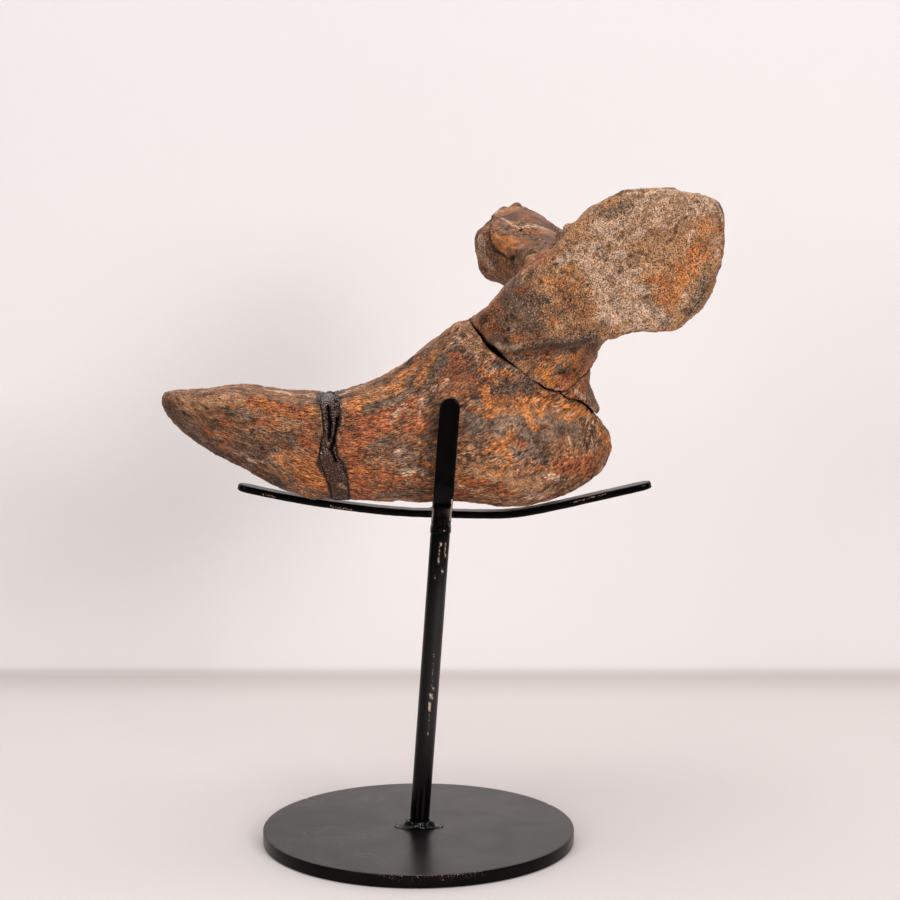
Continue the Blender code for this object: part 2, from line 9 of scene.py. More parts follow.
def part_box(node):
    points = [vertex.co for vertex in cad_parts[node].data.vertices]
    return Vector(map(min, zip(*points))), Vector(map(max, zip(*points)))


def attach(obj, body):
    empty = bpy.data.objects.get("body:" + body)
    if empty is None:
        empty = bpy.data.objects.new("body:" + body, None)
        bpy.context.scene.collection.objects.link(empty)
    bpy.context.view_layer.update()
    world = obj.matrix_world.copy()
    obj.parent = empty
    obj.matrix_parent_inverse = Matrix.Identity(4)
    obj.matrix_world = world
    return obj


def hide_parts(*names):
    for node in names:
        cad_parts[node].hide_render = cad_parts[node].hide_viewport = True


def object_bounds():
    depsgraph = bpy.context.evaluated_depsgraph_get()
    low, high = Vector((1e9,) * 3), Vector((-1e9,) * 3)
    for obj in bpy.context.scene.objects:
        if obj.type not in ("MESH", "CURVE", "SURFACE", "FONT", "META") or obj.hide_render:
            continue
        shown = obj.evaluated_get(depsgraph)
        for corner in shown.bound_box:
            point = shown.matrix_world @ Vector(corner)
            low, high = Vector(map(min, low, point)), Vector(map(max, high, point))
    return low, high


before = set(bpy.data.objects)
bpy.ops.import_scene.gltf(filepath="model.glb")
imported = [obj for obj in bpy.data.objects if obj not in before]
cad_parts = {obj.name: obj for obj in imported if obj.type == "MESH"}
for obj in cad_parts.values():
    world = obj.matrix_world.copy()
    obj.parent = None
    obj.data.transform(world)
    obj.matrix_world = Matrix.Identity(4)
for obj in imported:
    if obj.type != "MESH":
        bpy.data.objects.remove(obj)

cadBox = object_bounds()
mm = 0.001
sameCorner = 0.002 * mm
scene = bpy.context.scene
scene.view_settings.view_transform = "Standard"
bpy.ops.object.select_all(action="DESELECT")

# the camera stands level with the bone and looks a little down
view = dict(
    eye=(0.01284, -0.920, 0.28711),
    downTilt=7.828,
    lens=92.825,
    sensor=36.0,
    picture=900,
    nearest=0.01,
    farthest=20,
)

cameraData = bpy.data.cameras.new("pictureCamera")
cameraData.lens = view["lens"]
cameraData.sensor_width = view["sensor"]
cameraData.clip_start = view["nearest"]
cameraData.clip_end = view["farthest"]
camera = bpy.data.objects.new("pictureCamera", cameraData)
camera.location = view["eye"]
camera.rotation_euler = (math.radians(90 - view["downTilt"]), 0, 0)
scene.collection.objects.link(camera)
scene.camera = camera


# small helpers for handling meshes

def onlySelect(item):
    bpy.ops.object.select_all(action="DESELECT")
    item.select_set(True)
    bpy.context.view_layer.objects.active = item


def applyModifiers(item):
    onlySelect(item)
    for modifier in list(item.modifiers):
        bpy.ops.object.modifier_apply(modifier=modifier.name)


def copyNode(nodeName, pieceName):
    piece = bpy.data.objects.new(pieceName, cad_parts[nodeName].data.copy())
    piece.data.name = pieceName
    piece.data.materials.clear()
    scene.collection.objects.link(piece)
    onlySelect(piece)
    bpy.ops.object.mode_set(mode="EDIT")
    bpy.ops.mesh.select_all(action="SELECT")
    bpy.ops.mesh.remove_doubles(threshold=sameCorner)
    bpy.ops.object.mode_set(mode="OBJECT")
    return piece


def evenSkin(piece, voxel):
    skin = piece.modifiers.new("evenSkin", "REMESH")
    skin.mode = "VOXEL"
    skin.voxel_size = voxel
    skin.use_smooth_shade = True
    applyModifiers(piece)


def soften(piece, rounds, group=""):
    ease = piece.modifiers.new("soften", "SMOOTH")
    ease.factor = 0.5
    ease.iterations = rounds
    ease.vertex_group = group
    applyModifiers(piece)


def readPoints(piece, what="co"):
    flat = np.empty(len(piece.data.vertices) * 3)
    piece.data.vertices.foreach_get(what, flat)
    return flat.reshape(-1, 3)


def readNormals(piece):
    return readPoints(piece, "normal")


def writePoints(piece, points):
    piece.data.vertices.foreach_set("co", np.ascontiguousarray(points).ravel())
    piece.data.update()


def skinTree(mesh, points):
    # for finding where a line or a point meets the surface
    return BVHTree.FromPolygons(points, [face.vertices for face in mesh.polygons])


def shadeSmooth(piece):
    faces = piece.data.polygons
    faces.foreach_set("use_smooth", [True] * len(faces))


def saveMask(piece, maskName, values):
    layer = piece.data.attributes.new(maskName, "FLOAT", "POINT")
    layer.data.foreach_set("value", np.clip(values, 0, 1).astype(np.float32))


def saveVector(piece, layerName, vectors):
    layer = piece.data.attributes.new(layerName, "FLOAT_VECTOR", "POINT")
    layer.data.foreach_set("vector", vectors.astype(np.float32).ravel())


def weightGroup(piece, groupName, values):
    group = piece.vertex_groups.new(name=groupName)
    stepCount = 20
    steps = np.round(np.clip(values, 0, 1) * stepCount).astype(int)
    for step in range(1, stepCount + 1):
        group.add(np.nonzero(steps == step)[0].tolist(), step / stepCount, "REPLACE")


def ease01(values, low, high):
    share = np.clip((values - low) / (high - low), 0, 1)
    return share * share * (3 - 2 * share)


def cloud(points, size, octaves, seed, rough=0.8):
    # soft noise about -1 to 1, for points in mm; size is the width of its lumps
    offset = Vector((seed * 7.3, -seed * 3.1, seed * 5.7))
    return np.array([noise.fractal(Vector(point) + offset, rough, 2.1, octaves,
                                   noise_basis="PERLIN_ORIGINAL")
                     for point in (points / size).tolist()])


def cells(points, size, seed):
    # distance to the nearest of scattered points, 0 at a point, for pits and grains
    offset = Vector((seed * 4.9, seed * 2.3, -seed * 6.1))
    return np.array([noise.voronoi(Vector(point) + offset)[0][0]
                     for point in (points / size).tolist()])


def sightLine(pixelX, pixelY):
    # the line of sight through a place in the picture
    focal = view["lens"] / view["sensor"] * view["picture"]
    right = (pixelX - view["picture"] / 2) / focal
    up = (view["picture"] / 2 - pixelY) / focal
    tilt = math.radians(view["downTilt"])
    direction = Vector((right, math.cos(tilt) + up * math.sin(tilt),
                        -math.sin(tilt) + up * math.cos(tilt)))
    return Vector(view["eye"]), direction.normalized()


def placeOn(tree, points, pixelX, pixelY):
    # where that line meets a piece, or the place of its outline nearest to the line
    eye, direction = sightLine(pixelX, pixelY)
    hit = tree.ray_cast(eye, direction)[0]
    if hit is None:
        away = points - np.array(eye)
        along = away @ np.array(direction)
        aside = np.linalg.norm(away - along[:, None] * np.array(direction), axis=1)
        hit = Vector(points[np.argmin(aside / along)])
    return hit


def strokePath(tree, points, spots):
    # the places on a piece for the X and Y of a stroke in the picture
    return [placeOn(tree, points, *spot) for spot in zip(spots[::2], spots[1::2])]


# the share of a stroke's radius that is at full strength, which is more for a fine stroke
strokeCore = dict(fineBelow=4, fine=0.42, broad=0.25)


def strokeReach(points, path, radius, core=strokeCore["broad"]):
    # 1 on the stroke, easing to 0 at its radius, for points and path in metres
    nearest = np.full(len(points), 1e9)
    if len(path) == 1:
        path = [path[0], path[0] + Vector((1e-6, 0, 0))]
    for start, end in zip(path, path[1:]):
        start = np.array(start)
        run = np.array(end) - start
        share = np.clip((points - start) @ run / max(run @ run, 1e-12), 0, 1)
        gap = np.linalg.norm(points - start - share[:, None] * run, axis=1)
        nearest = np.minimum(nearest, gap)
    return 1 - ease01(nearest, core * radius, radius)


# small helpers for materials

def addNode(tree, kind, sockets=(), **settings):
    made = tree.nodes.new(kind)
    for name, value in settings.items():
        setattr(made, name, value)
    for name, value in dict(sockets).items():
        if isinstance(value, bpy.types.NodeSocket):
            tree.links.new(value, made.inputs[name])
        else:
            made.inputs[name].default_value = value
    return made


def addNoise(tree, place, scale, detail=4.0, rough=0.6, twist=0.0):
    return addNode(tree, "ShaderNodeTexNoise", {
        "Vector": place, "Scale": scale, "Detail": detail, "Roughness": rough,
        "Distortion": twist}).outputs["Fac"]


def addMath(tree, operation, first, second, clamp=False):
    return addNode(tree, "ShaderNodeMath", {0: first, 1: second},
                   operation=operation, use_clamp=clamp).outputs[0]


def plus(tree, first, second, clamp=False):
    return addMath(tree, "ADD", first, second, clamp)


def minus(tree, first, second, clamp=False):
    return addMath(tree, "SUBTRACT", first, second, clamp)


def times(tree, first, second):
    return addMath(tree, "MULTIPLY", first, second)


def addRange(tree, value, low, high, toLow=0.0, toHigh=1.0):
    return addNode(tree, "ShaderNodeMapRange", {
        "Value": value, "From Min": low, "From Max": high, "To Min": toLow,
        "To Max": toHigh}, interpolation_type="SMOOTHSTEP").outputs["Result"]


def addRamp(tree, value, stops):
    ramp = addNode(tree, "ShaderNodeValToRGB", {"Fac": value})
    stopList = ramp.color_ramp.elements
    while len(stopList) < len(stops):
        stopList.new(1.0)
    for stop, (position, colour) in zip(stopList, stops):
        stop.position = position
        stop.color = (*colour, 1.0)
    return ramp.outputs["Color"]


def addMix(tree, share, first, second, blend="MIX"):
    made = addNode(tree, "ShaderNodeMix", data_type="RGBA", blend_type=blend,
                   clamp_factor=True)
    for index, value in ((0, share), (6, first), (7, second)):
        if isinstance(value, bpy.types.NodeSocket):
            tree.links.new(value, made.inputs[index])
        elif isinstance(value, tuple):
            made.inputs[index].default_value = (*value, 1.0)
        else:
            made.inputs[index].default_value = value
    return made.outputs[2]


def addMask(tree, maskName):
    return addNode(tree, "ShaderNodeAttribute", attribute_name=maskName).outputs["Fac"]


def addMapping(tree, place, scale, turn=(0, 0, 0)):
    return addNode(tree, "ShaderNodeMapping", {
        "Vector": place, "Scale": scale, "Rotation": turn}).outputs["Vector"]


def placeInMm(tree, shift=(0, 0, 0)):
    place = addNode(tree, "ShaderNodeTexCoord").outputs["Object"]
    return addNode(tree, "ShaderNodeMapping", {
        "Vector": place, "Scale": (1 / mm,) * 3, "Location": shift}).outputs["Vector"]


def newMaterial(name):
    material = bpy.data.materials.new(name)
    material.use_nodes = True
    tree = material.node_tree
    tree.nodes.clear()
    shader = addNode(tree, "ShaderNodeBsdfPrincipled")
    output = addNode(tree, "ShaderNodeOutputMaterial")
    tree.links.new(shader.outputs[0], output.inputs["Surface"])
    return material, tree, shader


def wireShader(tree, shader, colour, rough, gloss, relief, strength, height):
    bump = addNode(tree, "ShaderNodeBump", {
        "Strength": strength, "Distance": height, "Height": relief}).outputs[0]
    for name, value in (("Base Color", colour), ("Roughness", rough),
                        ("Specular IOR Level", gloss), ("Normal", bump)):
        tree.links.new(value, shader.inputs[name])


# fossil bone: its finish

boneLook = dict(
    umber=(0.085, 0.042, 0.025),
    brown=(0.190, 0.086, 0.044),
    warm=(0.315, 0.138, 0.064),
    light=(0.400, 0.205, 0.110),
    rust=(0.400, 0.112, 0.034),
    ochre=(0.590, 0.212, 0.048),
    ash=(0.178, 0.128, 0.100),
    chalk=(0.620, 0.435, 0.325),
    sand=(0.500, 0.270, 0.130),
    # the black of dark pinholes, and of painted shade in cracks, grooves and under overhangs
    paintedShadeAndPinholes=(0.014, 0.009, 0.006),
    tar=(0.016, 0.010, 0.009),
    crumb=(0.17, 0.090, 0.058),
    mineral=(0.66, 0.47, 0.33),
    # shade is the tint that painted shade multiplies the colour by
    shade=(0.58, 0.52, 0.48),
    patchStretch=(0.55, 1.0, 1.0),
    fibreScale=(0.34, 1.50, 1.30),
    threadScale=(0.62, 3.00, 2.60),
    # noises: scale, detail, roughness and distortion
    cloudNoise=(0.15, 8, 0.56, 0.8), stainNoise=(8, 0.60, 1.2), paintedShadeNoise=(0.3, 6, 0.6, 0.5),
    fibreNoise=(1.0, 2, 0.6, 0.9), threadNoise=(1.0, 1, 0.5, 0.6),
    grainNoise=(1.80, 2, 0.62, 0.2), speckNoise=(1.90, 0, 0.5),
    raggedNoise=(0.50, 6, 0.70, 0.6),
    # the tones of the clouds, fibres, threads and grains, and of painted shade in the hollows
    # and wear on the high places, from low to high
    cloudTone=((0.34, "umber"), (0.45, "brown"), (0.55, "warm"), (0.68, "light")),
    fibreTone=((0.36, (0.56, 0.53, 0.51)), (0.45, (0.83, 0.82, 0.81)),
               (0.54, (1.03, 1.03, 1.03)), (0.66, (1.34, 1.30, 1.24))),
    threadTone=((0.36, (0.20, 0.18, 0.17)), (0.46, (0.72, 0.71, 0.70)),
                (0.55, (1.08, 1.08, 1.07)), (0.66, (1.98, 1.72, 1.38))),
    grainTone=((0.36, (0.17, 0.15, 0.14)), (0.45, (0.62, 0.59, 0.57)),
               (0.53, (1.08, 1.07, 1.05)), (0.66, (1.62, 1.50, 1.28))),
    shadeAndWearTone=((0.16, (0.44, 0.40, 0.38)), (0.42, (0.88, 0.87, 0.86)),
              (0.58, (1.03, 1.03, 1.03)), (0.86, (1.26, 1.24, 1.20))),
    # each stain with the scale, the threshold and the strength of its patches
    stains=(("sand", 0.22, 0.14, 0.68), ("ash", 0.22, 0.26, 0.78), ("rust", 0.24, 0.26, 0.80),
            ("ochre", 0.26, 0.26, 0.80), ("chalk", 0.30, 0.26, 0.70)),
    stainPaint=0.80, stainRagged=1.9, stainEdge=0.15,
    paintedShadeWeight=0.8, calming=0.80, smearPaint=0.90, smearRagged=3.0, smearGloss=0.06,
    # a noise from and to these levels gives an amount from and to those
    sandy=(0.15, 0.75),
    paintedShade=(0.68, 1.08, 0.0, 0.90),
    calmFine=(0.35, 1.0, 1.0, 0.2),
    bright=(0.66, 0.76, 0.0, 0.80),
    brightSandy=(0.0, 1.0, 0.45, 1.0),
    pinholes=(0.33, 0.24, 0.0, 0.90),
    smear=(0.35, 0.43, 0.0, 0.98),
    smearEdge=(0.03, 0.20),
    crumbs=(0.50, 0.63, 0.0, 0.75),
    roughness=(0.35, 0.70, 0.80, 0.48),
    sticky=(0.42, 0.62, 0.14, 0.46),
    gloss=0.32,
    bumpStrength=0.9,
    bumpHeight=0.55 * mm,
    lift=dict(fibre=0.9, thread=0.5, speck=0.5, smooth=0.6, smear=1.8),
    shift=(31, 12, -47),
)


def makeBoneMaterial(name, look):
    material, tree, shader = newMaterial(name)
    place = placeInMm(tree, look["shift"])
    run = addNode(tree, "ShaderNodeAttribute", attribute_name="grain").outputs["Vector"]
    drawn = addMapping(tree, run, look["patchStretch"])
    plain = (1.0, 1.0, 1.0)

    # the clouded browns under everything
    clouds = addNoise(tree, drawn, *look["cloudNoise"])
    colour = addRamp(tree, clouds, [(stop, look[tint]) for stop, tint in look["cloudTone"]])

    # long fibres and fine threads of the bone, and the open granular texture
    fibre = addNoise(tree, addMapping(tree, run, look["fibreScale"]), *look["fibreNoise"])
    thread = addNoise(tree, addMapping(tree, run, look["threadScale"]), *look["threadNoise"])
    grain = addNoise(tree, place, *look["grainNoise"])
    speck = addNoise(tree, place, *look["speckNoise"])
    sandy = addRange(tree, addMask(tree, "sand"), *look["sandy"])
    smooth = addMask(tree, "smooth")
    tar = addMask(tree, "tar")

    # stains, each broken up into ragged patches
    for stain, scale, least, strength in look["stains"]:
        patches = addNoise(tree, drawn, scale, *look["stainNoise"])
        ragged = times(tree, minus(tree, patches, 0.5), look["stainRagged"])
        amount = plus(tree, times(tree, addMask(tree, stain), look["stainPaint"]), ragged)
        share = addRange(tree, amount, least, least + look["stainEdge"], 0.0, strength)
        colour = addMix(tree, share, colour, look[stain])
    # painted shade: the colour is darkened by the shade tint where the painted-shade strokes
    # reach, broken up by noise
    paintedShadeAmount = addNoise(tree, drawn, *look["paintedShadeNoise"])
    paintedShadeAmount = plus(tree, times(tree, addMask(tree, "paintedShade"), look["paintedShadeWeight"]), paintedShadeAmount)
    colour = addMix(tree, addRange(tree, paintedShadeAmount, *look["paintedShade"]), colour,
                    addMix(tree, 1.0, colour, look["shade"], "MULTIPLY"))

    # light and dark threads over all of it, calmer where the bone is smooth
    fibreTone = addRamp(tree, fibre, look["fibreTone"])
    threadTone = addRamp(tree, thread, look["threadTone"])
    grainTone = addRamp(tree, grain, look["grainTone"])
    calm = minus(tree, 1.0, times(tree, smooth, look["calming"]))
    calmFine = addRange(tree, smooth, *look["calmFine"])
    broadTone = addMix(tree, calm, plain, addMix(tree, sandy, fibreTone, grainTone))
    colour = addMix(tree, 1.0, colour, broadTone, "MULTIPLY")
    fineTone = addMix(tree, calmFine, plain, addMix(tree, sandy, threadTone, plain))
    colour = addMix(tree, 1.0, colour, fineTone, "MULTIPLY")

    # bright mineral specks and dark pinholes
    bright = addRange(tree, speck, *look["bright"])
    bright = times(tree, bright, addRange(tree, sandy, *look["brightSandy"]))
    colour = addMix(tree, times(tree, bright, calm), colour, look["mineral"])
    dark = times(tree, addRange(tree, speck, *look["pinholes"]), calm)
    colour = addMix(tree, dark, colour, look["paintedShadeAndPinholes"])

    # painted shade in the hollows of the relief, and lighter worn high places
    worn = addRamp(tree, addMask(tree, "hollow"), look["shadeAndWearTone"])
    colour = addMix(tree, 1.0, colour, worn, "MULTIPLY")
    # painted shade: black in the cracks, in grooves and under overhangs, and the painted shadow
    # of the prong
    colour = addMix(tree, addMask(tree, "paintedShadeAndPinholes"), colour, look["paintedShadeAndPinholes"])

    # black filler smeared over the bone beside the break
    ragged = addNoise(tree, place, *look["raggedNoise"])
    smear = plus(tree, times(tree, tar, look["smearPaint"]),
                 times(tree, minus(tree, ragged, 0.5), look["smearRagged"]))
    smear = times(tree, addRange(tree, smear, *look["smear"]),
                  addRange(tree, tar, *look["smearEdge"]))
    tarTone = addMix(tree, addRange(tree, grain, *look["crumbs"]), look["tar"], look["crumb"])
    colour = addMix(tree, smear, colour, tarTone)

    rough = addRange(tree, grain, *look["roughness"])
    rough = addMix(tree, smear, rough, addRange(tree, ragged, *look["sticky"]))
    gloss = minus(tree, look["gloss"], times(tree, smear, look["smearGloss"]))
    lift = look["lift"]
    relief = plus(tree, times(tree, fibre, lift["fibre"]), times(tree, thread, lift["thread"]))
    relief = addMix(tree, sandy, relief, grain)
    relief = plus(tree, relief, times(tree, speck, lift["speck"]))
    relief = times(tree, relief, minus(tree, 1.0, times(tree, smooth, lift["smooth"])))
    relief = plus(tree, relief, times(tree, times(tree, smear, ragged), lift["smear"]))
    wireShader(tree, shader, colour, rough, gloss, relief, look["bumpStrength"],
               look["bumpHeight"])
    return material


# fossil bone: its shape

boneRun = dict(  # the upper and the lower line that the fibres follow, X and Z in mm
    upper=((-102, 184), (-60, 187), (-30, 186), (-10, 191), (5, 201), (20, 215), (45, 245),
           (90, 290)),
    lower=((-102, 183), (-80, 166), (-60, 153), (-40, 144), (-20, 140), (40, 138), (62, 142),
           (80, 156)),
    leastWidth=18,
    width=42,
)


def fibreRun(points, turn):
    # places in mm measured along and across the fibres
    x, y, z = points.T
    if turn is None:
        upper = np.interp(x, *zip(*boneRun["upper"]))
        lower = np.interp(x, *zip(*boneRun["lower"]))
        across = (z - lower) / np.maximum(upper - lower, boneRun["leastWidth"])
        return np.stack([x, across * boneRun["width"], y], 1)
    cosTurn, sinTurn = math.cos(math.radians(turn)), math.sin(math.radians(turn))
    return np.stack([x * cosTurn + z * sinTurn, z * cosTurn - x * sinTurn, y], 1)


def gapTo(points, nodeNames, reach):
    # how far each point is from the nearest of some CAD nodes, up to reach
    gaps = np.full(len(points), reach)
    for nodeName in nodeNames:
        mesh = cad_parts[nodeName].data
        tree = skinTree(mesh, [corner.co for corner in mesh.vertices])
        low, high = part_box(nodeName)
        inside = np.all((points > np.array(low) - reach) & (points < np.array(high) + reach), 1)
        for index in np.nonzero(inside)[0]:
            found = tree.find_nearest(points[index], reach)[3]
            if found is not None and found < gaps[index]:
                gaps[index] = found
    return gaps


def paintStrokes(points, tree, strokes):
    # each stroke is its radius in mm, its strength, and the X,Y of its places in the picture
    mask = np.zeros(len(points))
    for radius, strength, *spots in strokes:
        core = strokeCore["fine" if radius < strokeCore["fineBelow"] else "broad"]
        reach = strokeReach(points, strokePath(tree, points, spots), radius * mm, core)
        mask = np.maximum(mask, strength * reach)
    return mask


hiddenLook = dict(  # stains by chance on the sides that the picture doesn't show, in mm
    backward=0.15, downward=-0.75,
    runX=(-9, 9), runZ=(-4, 5), radius=(3, 8), strength=(0.45, 0.8),
)


def scatterStrokes(points, normals, seed, counts, look=hiddenLook):
    chance = random.Random(seed)
    away = (normals[:, 1] > look["backward"]) | (normals[:, 2] < look["downward"])
    hidden = np.nonzero(away)[0]
    masks = {}
    for maskName, count in counts.items():
        mask = np.zeros(len(points))
        for stain in range(count):
            start = Vector(points[hidden[chance.randrange(len(hidden))]])
            step = Vector((chance.uniform(*look["runX"]), 0, chance.uniform(*look["runZ"])))
            path = [start, start + step * mm]
            reach = strokeReach(points, path, chance.uniform(*look["radius"]) * mm)
            mask = np.maximum(mask, chance.uniform(*look["strength"]) * reach)
        masks[maskName] = mask
    return masks


reliefLook = dict(  # for every bone piece, the widths of its relief in mm
    dents=12, lumps=4.2, grains=1.5, grainsWhereFibrous=0.3,
    strands=(0.15, 0.62, 0.5), strandLevel=0.22, strandsLostInSand=0.75,
    pitPatches=9, pitFade=0.2, pit=(0.10, 0.26), chips=1.5, chipLevel=(0.0, 0.35), calm=0.8,
    smear=3.0, smearVaries=0.55, bubbles=1.7, smearTop=0.8,
)
edgeLook = dict(  # how the surface changes beside a break, and where the stand carries it
    seamReach=4 * mm, restReach=3 * mm,
    openSkin=(0.5 * mm, 2.4 * mm),
    seamFree=(0.35 * mm, 1.6 * mm), restFree=(0.4 * mm, 2.2 * mm),
    carveFree=(0.2 * mm, 1.0 * mm),
    chipFrom=(0.3 * mm, 0.7 * mm), chipTo=(0.9 * mm, 2.0 * mm),
    smearFrom=0.5 * mm, smearLeast=0.9 * mm, tarRise=0.35,
    lipRise=0.11, lip=(0.33 * mm, 0.6 * mm), lipFree=(0.4 * mm, 2 * mm),
    closedRise=0.235, closedUnshaded=0.8, closed=(0.55 * mm, 0.9 * mm),
    # painted shade in the cracks: how far from a crack it reaches, and how dark it is
    crackShade=(0.32 * mm, 0.62 * mm), crackShadeDepth=0.9,
    inset=0.03 * mm,
)
boneMasks = ("chalk", "ash", "ochre", "rust", "smooth", "paintedShadeAndPinholes", "hollow", "sand", "tar", "paintedShade")


def makeBone(look, material):
    piece = copyNode(look["node"], look["piece"])
    evenSkin(piece, look["voxel"])
    points = readPoints(piece)
    seam = gapTo(points, look["seams"], edgeLook["seamReach"])
    rest = gapTo(points, ("cradle_long_strip", "cradle_cross_strip"), edgeLook["restReach"])
    weightGroup(piece, "openSkin", ease01(seam, *edgeLook["openSkin"]))
    soften(piece, look["soften"], "openSkin")
    soften(piece, 2)
    points = readPoints(piece)
    normals = readNormals(piece)
    tree = skinTree(piece.data, points.tolist())
    masks = {name: paintStrokes(points, tree, strokes)
             for name, strokes in look["stains"].items()}
    hidden = scatterStrokes(points, normals, look["seed"], look["hiddenStains"])
    for name, mask in hidden.items():
        masks[name] = np.maximum(masks.get(name, 0), mask)

    # relief in mm: broad dents, lumps, grooves along the fibres, grains and pits
    inMm = points / mm
    seed = look["seed"]
    run = fibreRun(inMm, look["turn"])
    size = reliefLook
    blank = np.zeros(len(points))
    sandy = np.clip(np.maximum(masks.get("sand", blank), look["sandy"]), 0, 1)
    broad = look["dents"] * cloud(inMm, size["dents"], 3, seed)
    lumps = look["lumps"] * cloud(inMm, size["lumps"], 3, seed + 1)
    strands = cloud(run * np.array(size["strands"]), 1, 4, seed + 2)
    grooves = look["grooves"] * (size["strandLevel"] - np.abs(strands))
    grooves = grooves * (1 - size["strandsLostInSand"] * sandy)
    fibrous = size["grainsWhereFibrous"]
    grains = look["grains"] * cloud(inMm, size["grains"], 2, seed + 3)
    grains = grains * (fibrous + (1 - fibrous) * sandy)
    holes = 1 - ease01(cells(inMm, look["pitSpacing"], seed + 4), *size["pit"])
    fewer = ease01(cloud(inMm, size["pitPatches"], 2, seed + 5), look["pitChance"],
                   look["pitChance"] + size["pitFade"])
    pits = -look["pits"] * holes * fewer
    relief = lumps + grooves + grains + pits
    calm = 1 - size["calm"] * masks.get("smooth", blank)
    free = ease01(seam, *edgeLook["seamFree"]) * ease01(rest, *edgeLook["restFree"])
    rise = (broad + relief * calm) * free
    if "repair_band" in look["seams"]:
        # the filler is smeared a little way over the bone and stands proud of it
        beside = gapTo(points, ("repair_band",), edgeLook["seamReach"])
        varies = 1 + size["smearVaries"] * cloud(inMm, size["smear"], 2, seed + 8)
        reach = np.maximum(look["smearReach"] * mm * varies, edgeLook["smearLeast"])
        near = 1 - ease01(beside, edgeLook["smearFrom"], reach)
        masks["tar"] = np.maximum(masks["tar"], near * (normals[:, 2] < size["smearTop"]))
        bubbly = 0.5 + cloud(inMm, size["bubbles"], 2, seed + 7)
        rise += edgeLook["tarRise"] * masks["tar"] * bubbly * free
        lip = 1 - ease01(beside, *edgeLook["lip"])
        rise += edgeLook["lipRise"] * lip * ease01(rest, *edgeLook["lipFree"])

    # small chips along the broken edges, only inwards
    edge = ease01(seam, *edgeLook["chipFrom"]) * (1 - ease01(seam, *edgeLook["chipTo"]))
    closed = paintStrokes(points, tree, look["closed"])
    edge *= 1 - closed
    broken = ease01(cloud(inMm, size["chips"], 2, seed + 6), *size["chipLevel"])
    rise -= look["chips"] * edge * broken
    carveFree = ease01(rest, *edgeLook["carveFree"])
    for radius, depth, *spots in look["carved"]:
        path = strokePath(tree, points, spots)
        rise += depth * strokeReach(points, path, radius * mm) * carveFree
    rise += edgeLook["closedRise"] * closed * (1 - ease01(seam, *edgeLook["closed"]))
    points = points + normals * (rise * mm)[:, None]
    for radius, way, *spots in look.get("moved", ()):
        path = strokePath(tree, points, spots)
        points = points + strokeReach(points, path, radius * mm)[:, None] * np.array(way) * mm
    low = np.array(cadBox[0]) + edgeLook["inset"]
    high = np.array(cadBox[1]) - edgeLook["inset"]
    writePoints(piece, np.clip(points, low, high))

    saveVector(piece, "grain", run)
    masks["sand"] = sandy
    # painted shade in the hollows of the relief and wear on its high places, taken from the
    # relief itself
    masks["hollow"] = 0.5 + relief / look["shadeAndWearDepth"]
    # painted shade in the cracks, less where a crack is closed, joined with the painted shade
    # of the strokes
    crackShade = (1 - ease01(seam, *edgeLook["crackShade"])) * (1 - edgeLook["closedUnshaded"] * closed)
    masks["paintedShadeAndPinholes"] = np.maximum(masks.get("paintedShadeAndPinholes", 0), crackShade * edgeLook["crackShadeDepth"])
    for name in boneMasks:
        saveMask(piece, name, masks.get(name, blank))
    piece.data.materials.append(material)
    shadeSmooth(piece)
    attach(piece, "root")
    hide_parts(look["node"])
    print("bone piece", look["piece"], len(piece.data.polygons) * 2, "triangles")


fossilBone = makeBoneMaterial("fossilBone", boneLook)

# where the broken edges nearly touch: along the neck, and round the small wedge
neckCrack = ((7, 1, 512,367, 521,372, 530,378), (5, 1, 469,321, 477,331, 482,338))
wedgeCrack = ((3, 0.8, 570,388, 578,383, 584,377),)

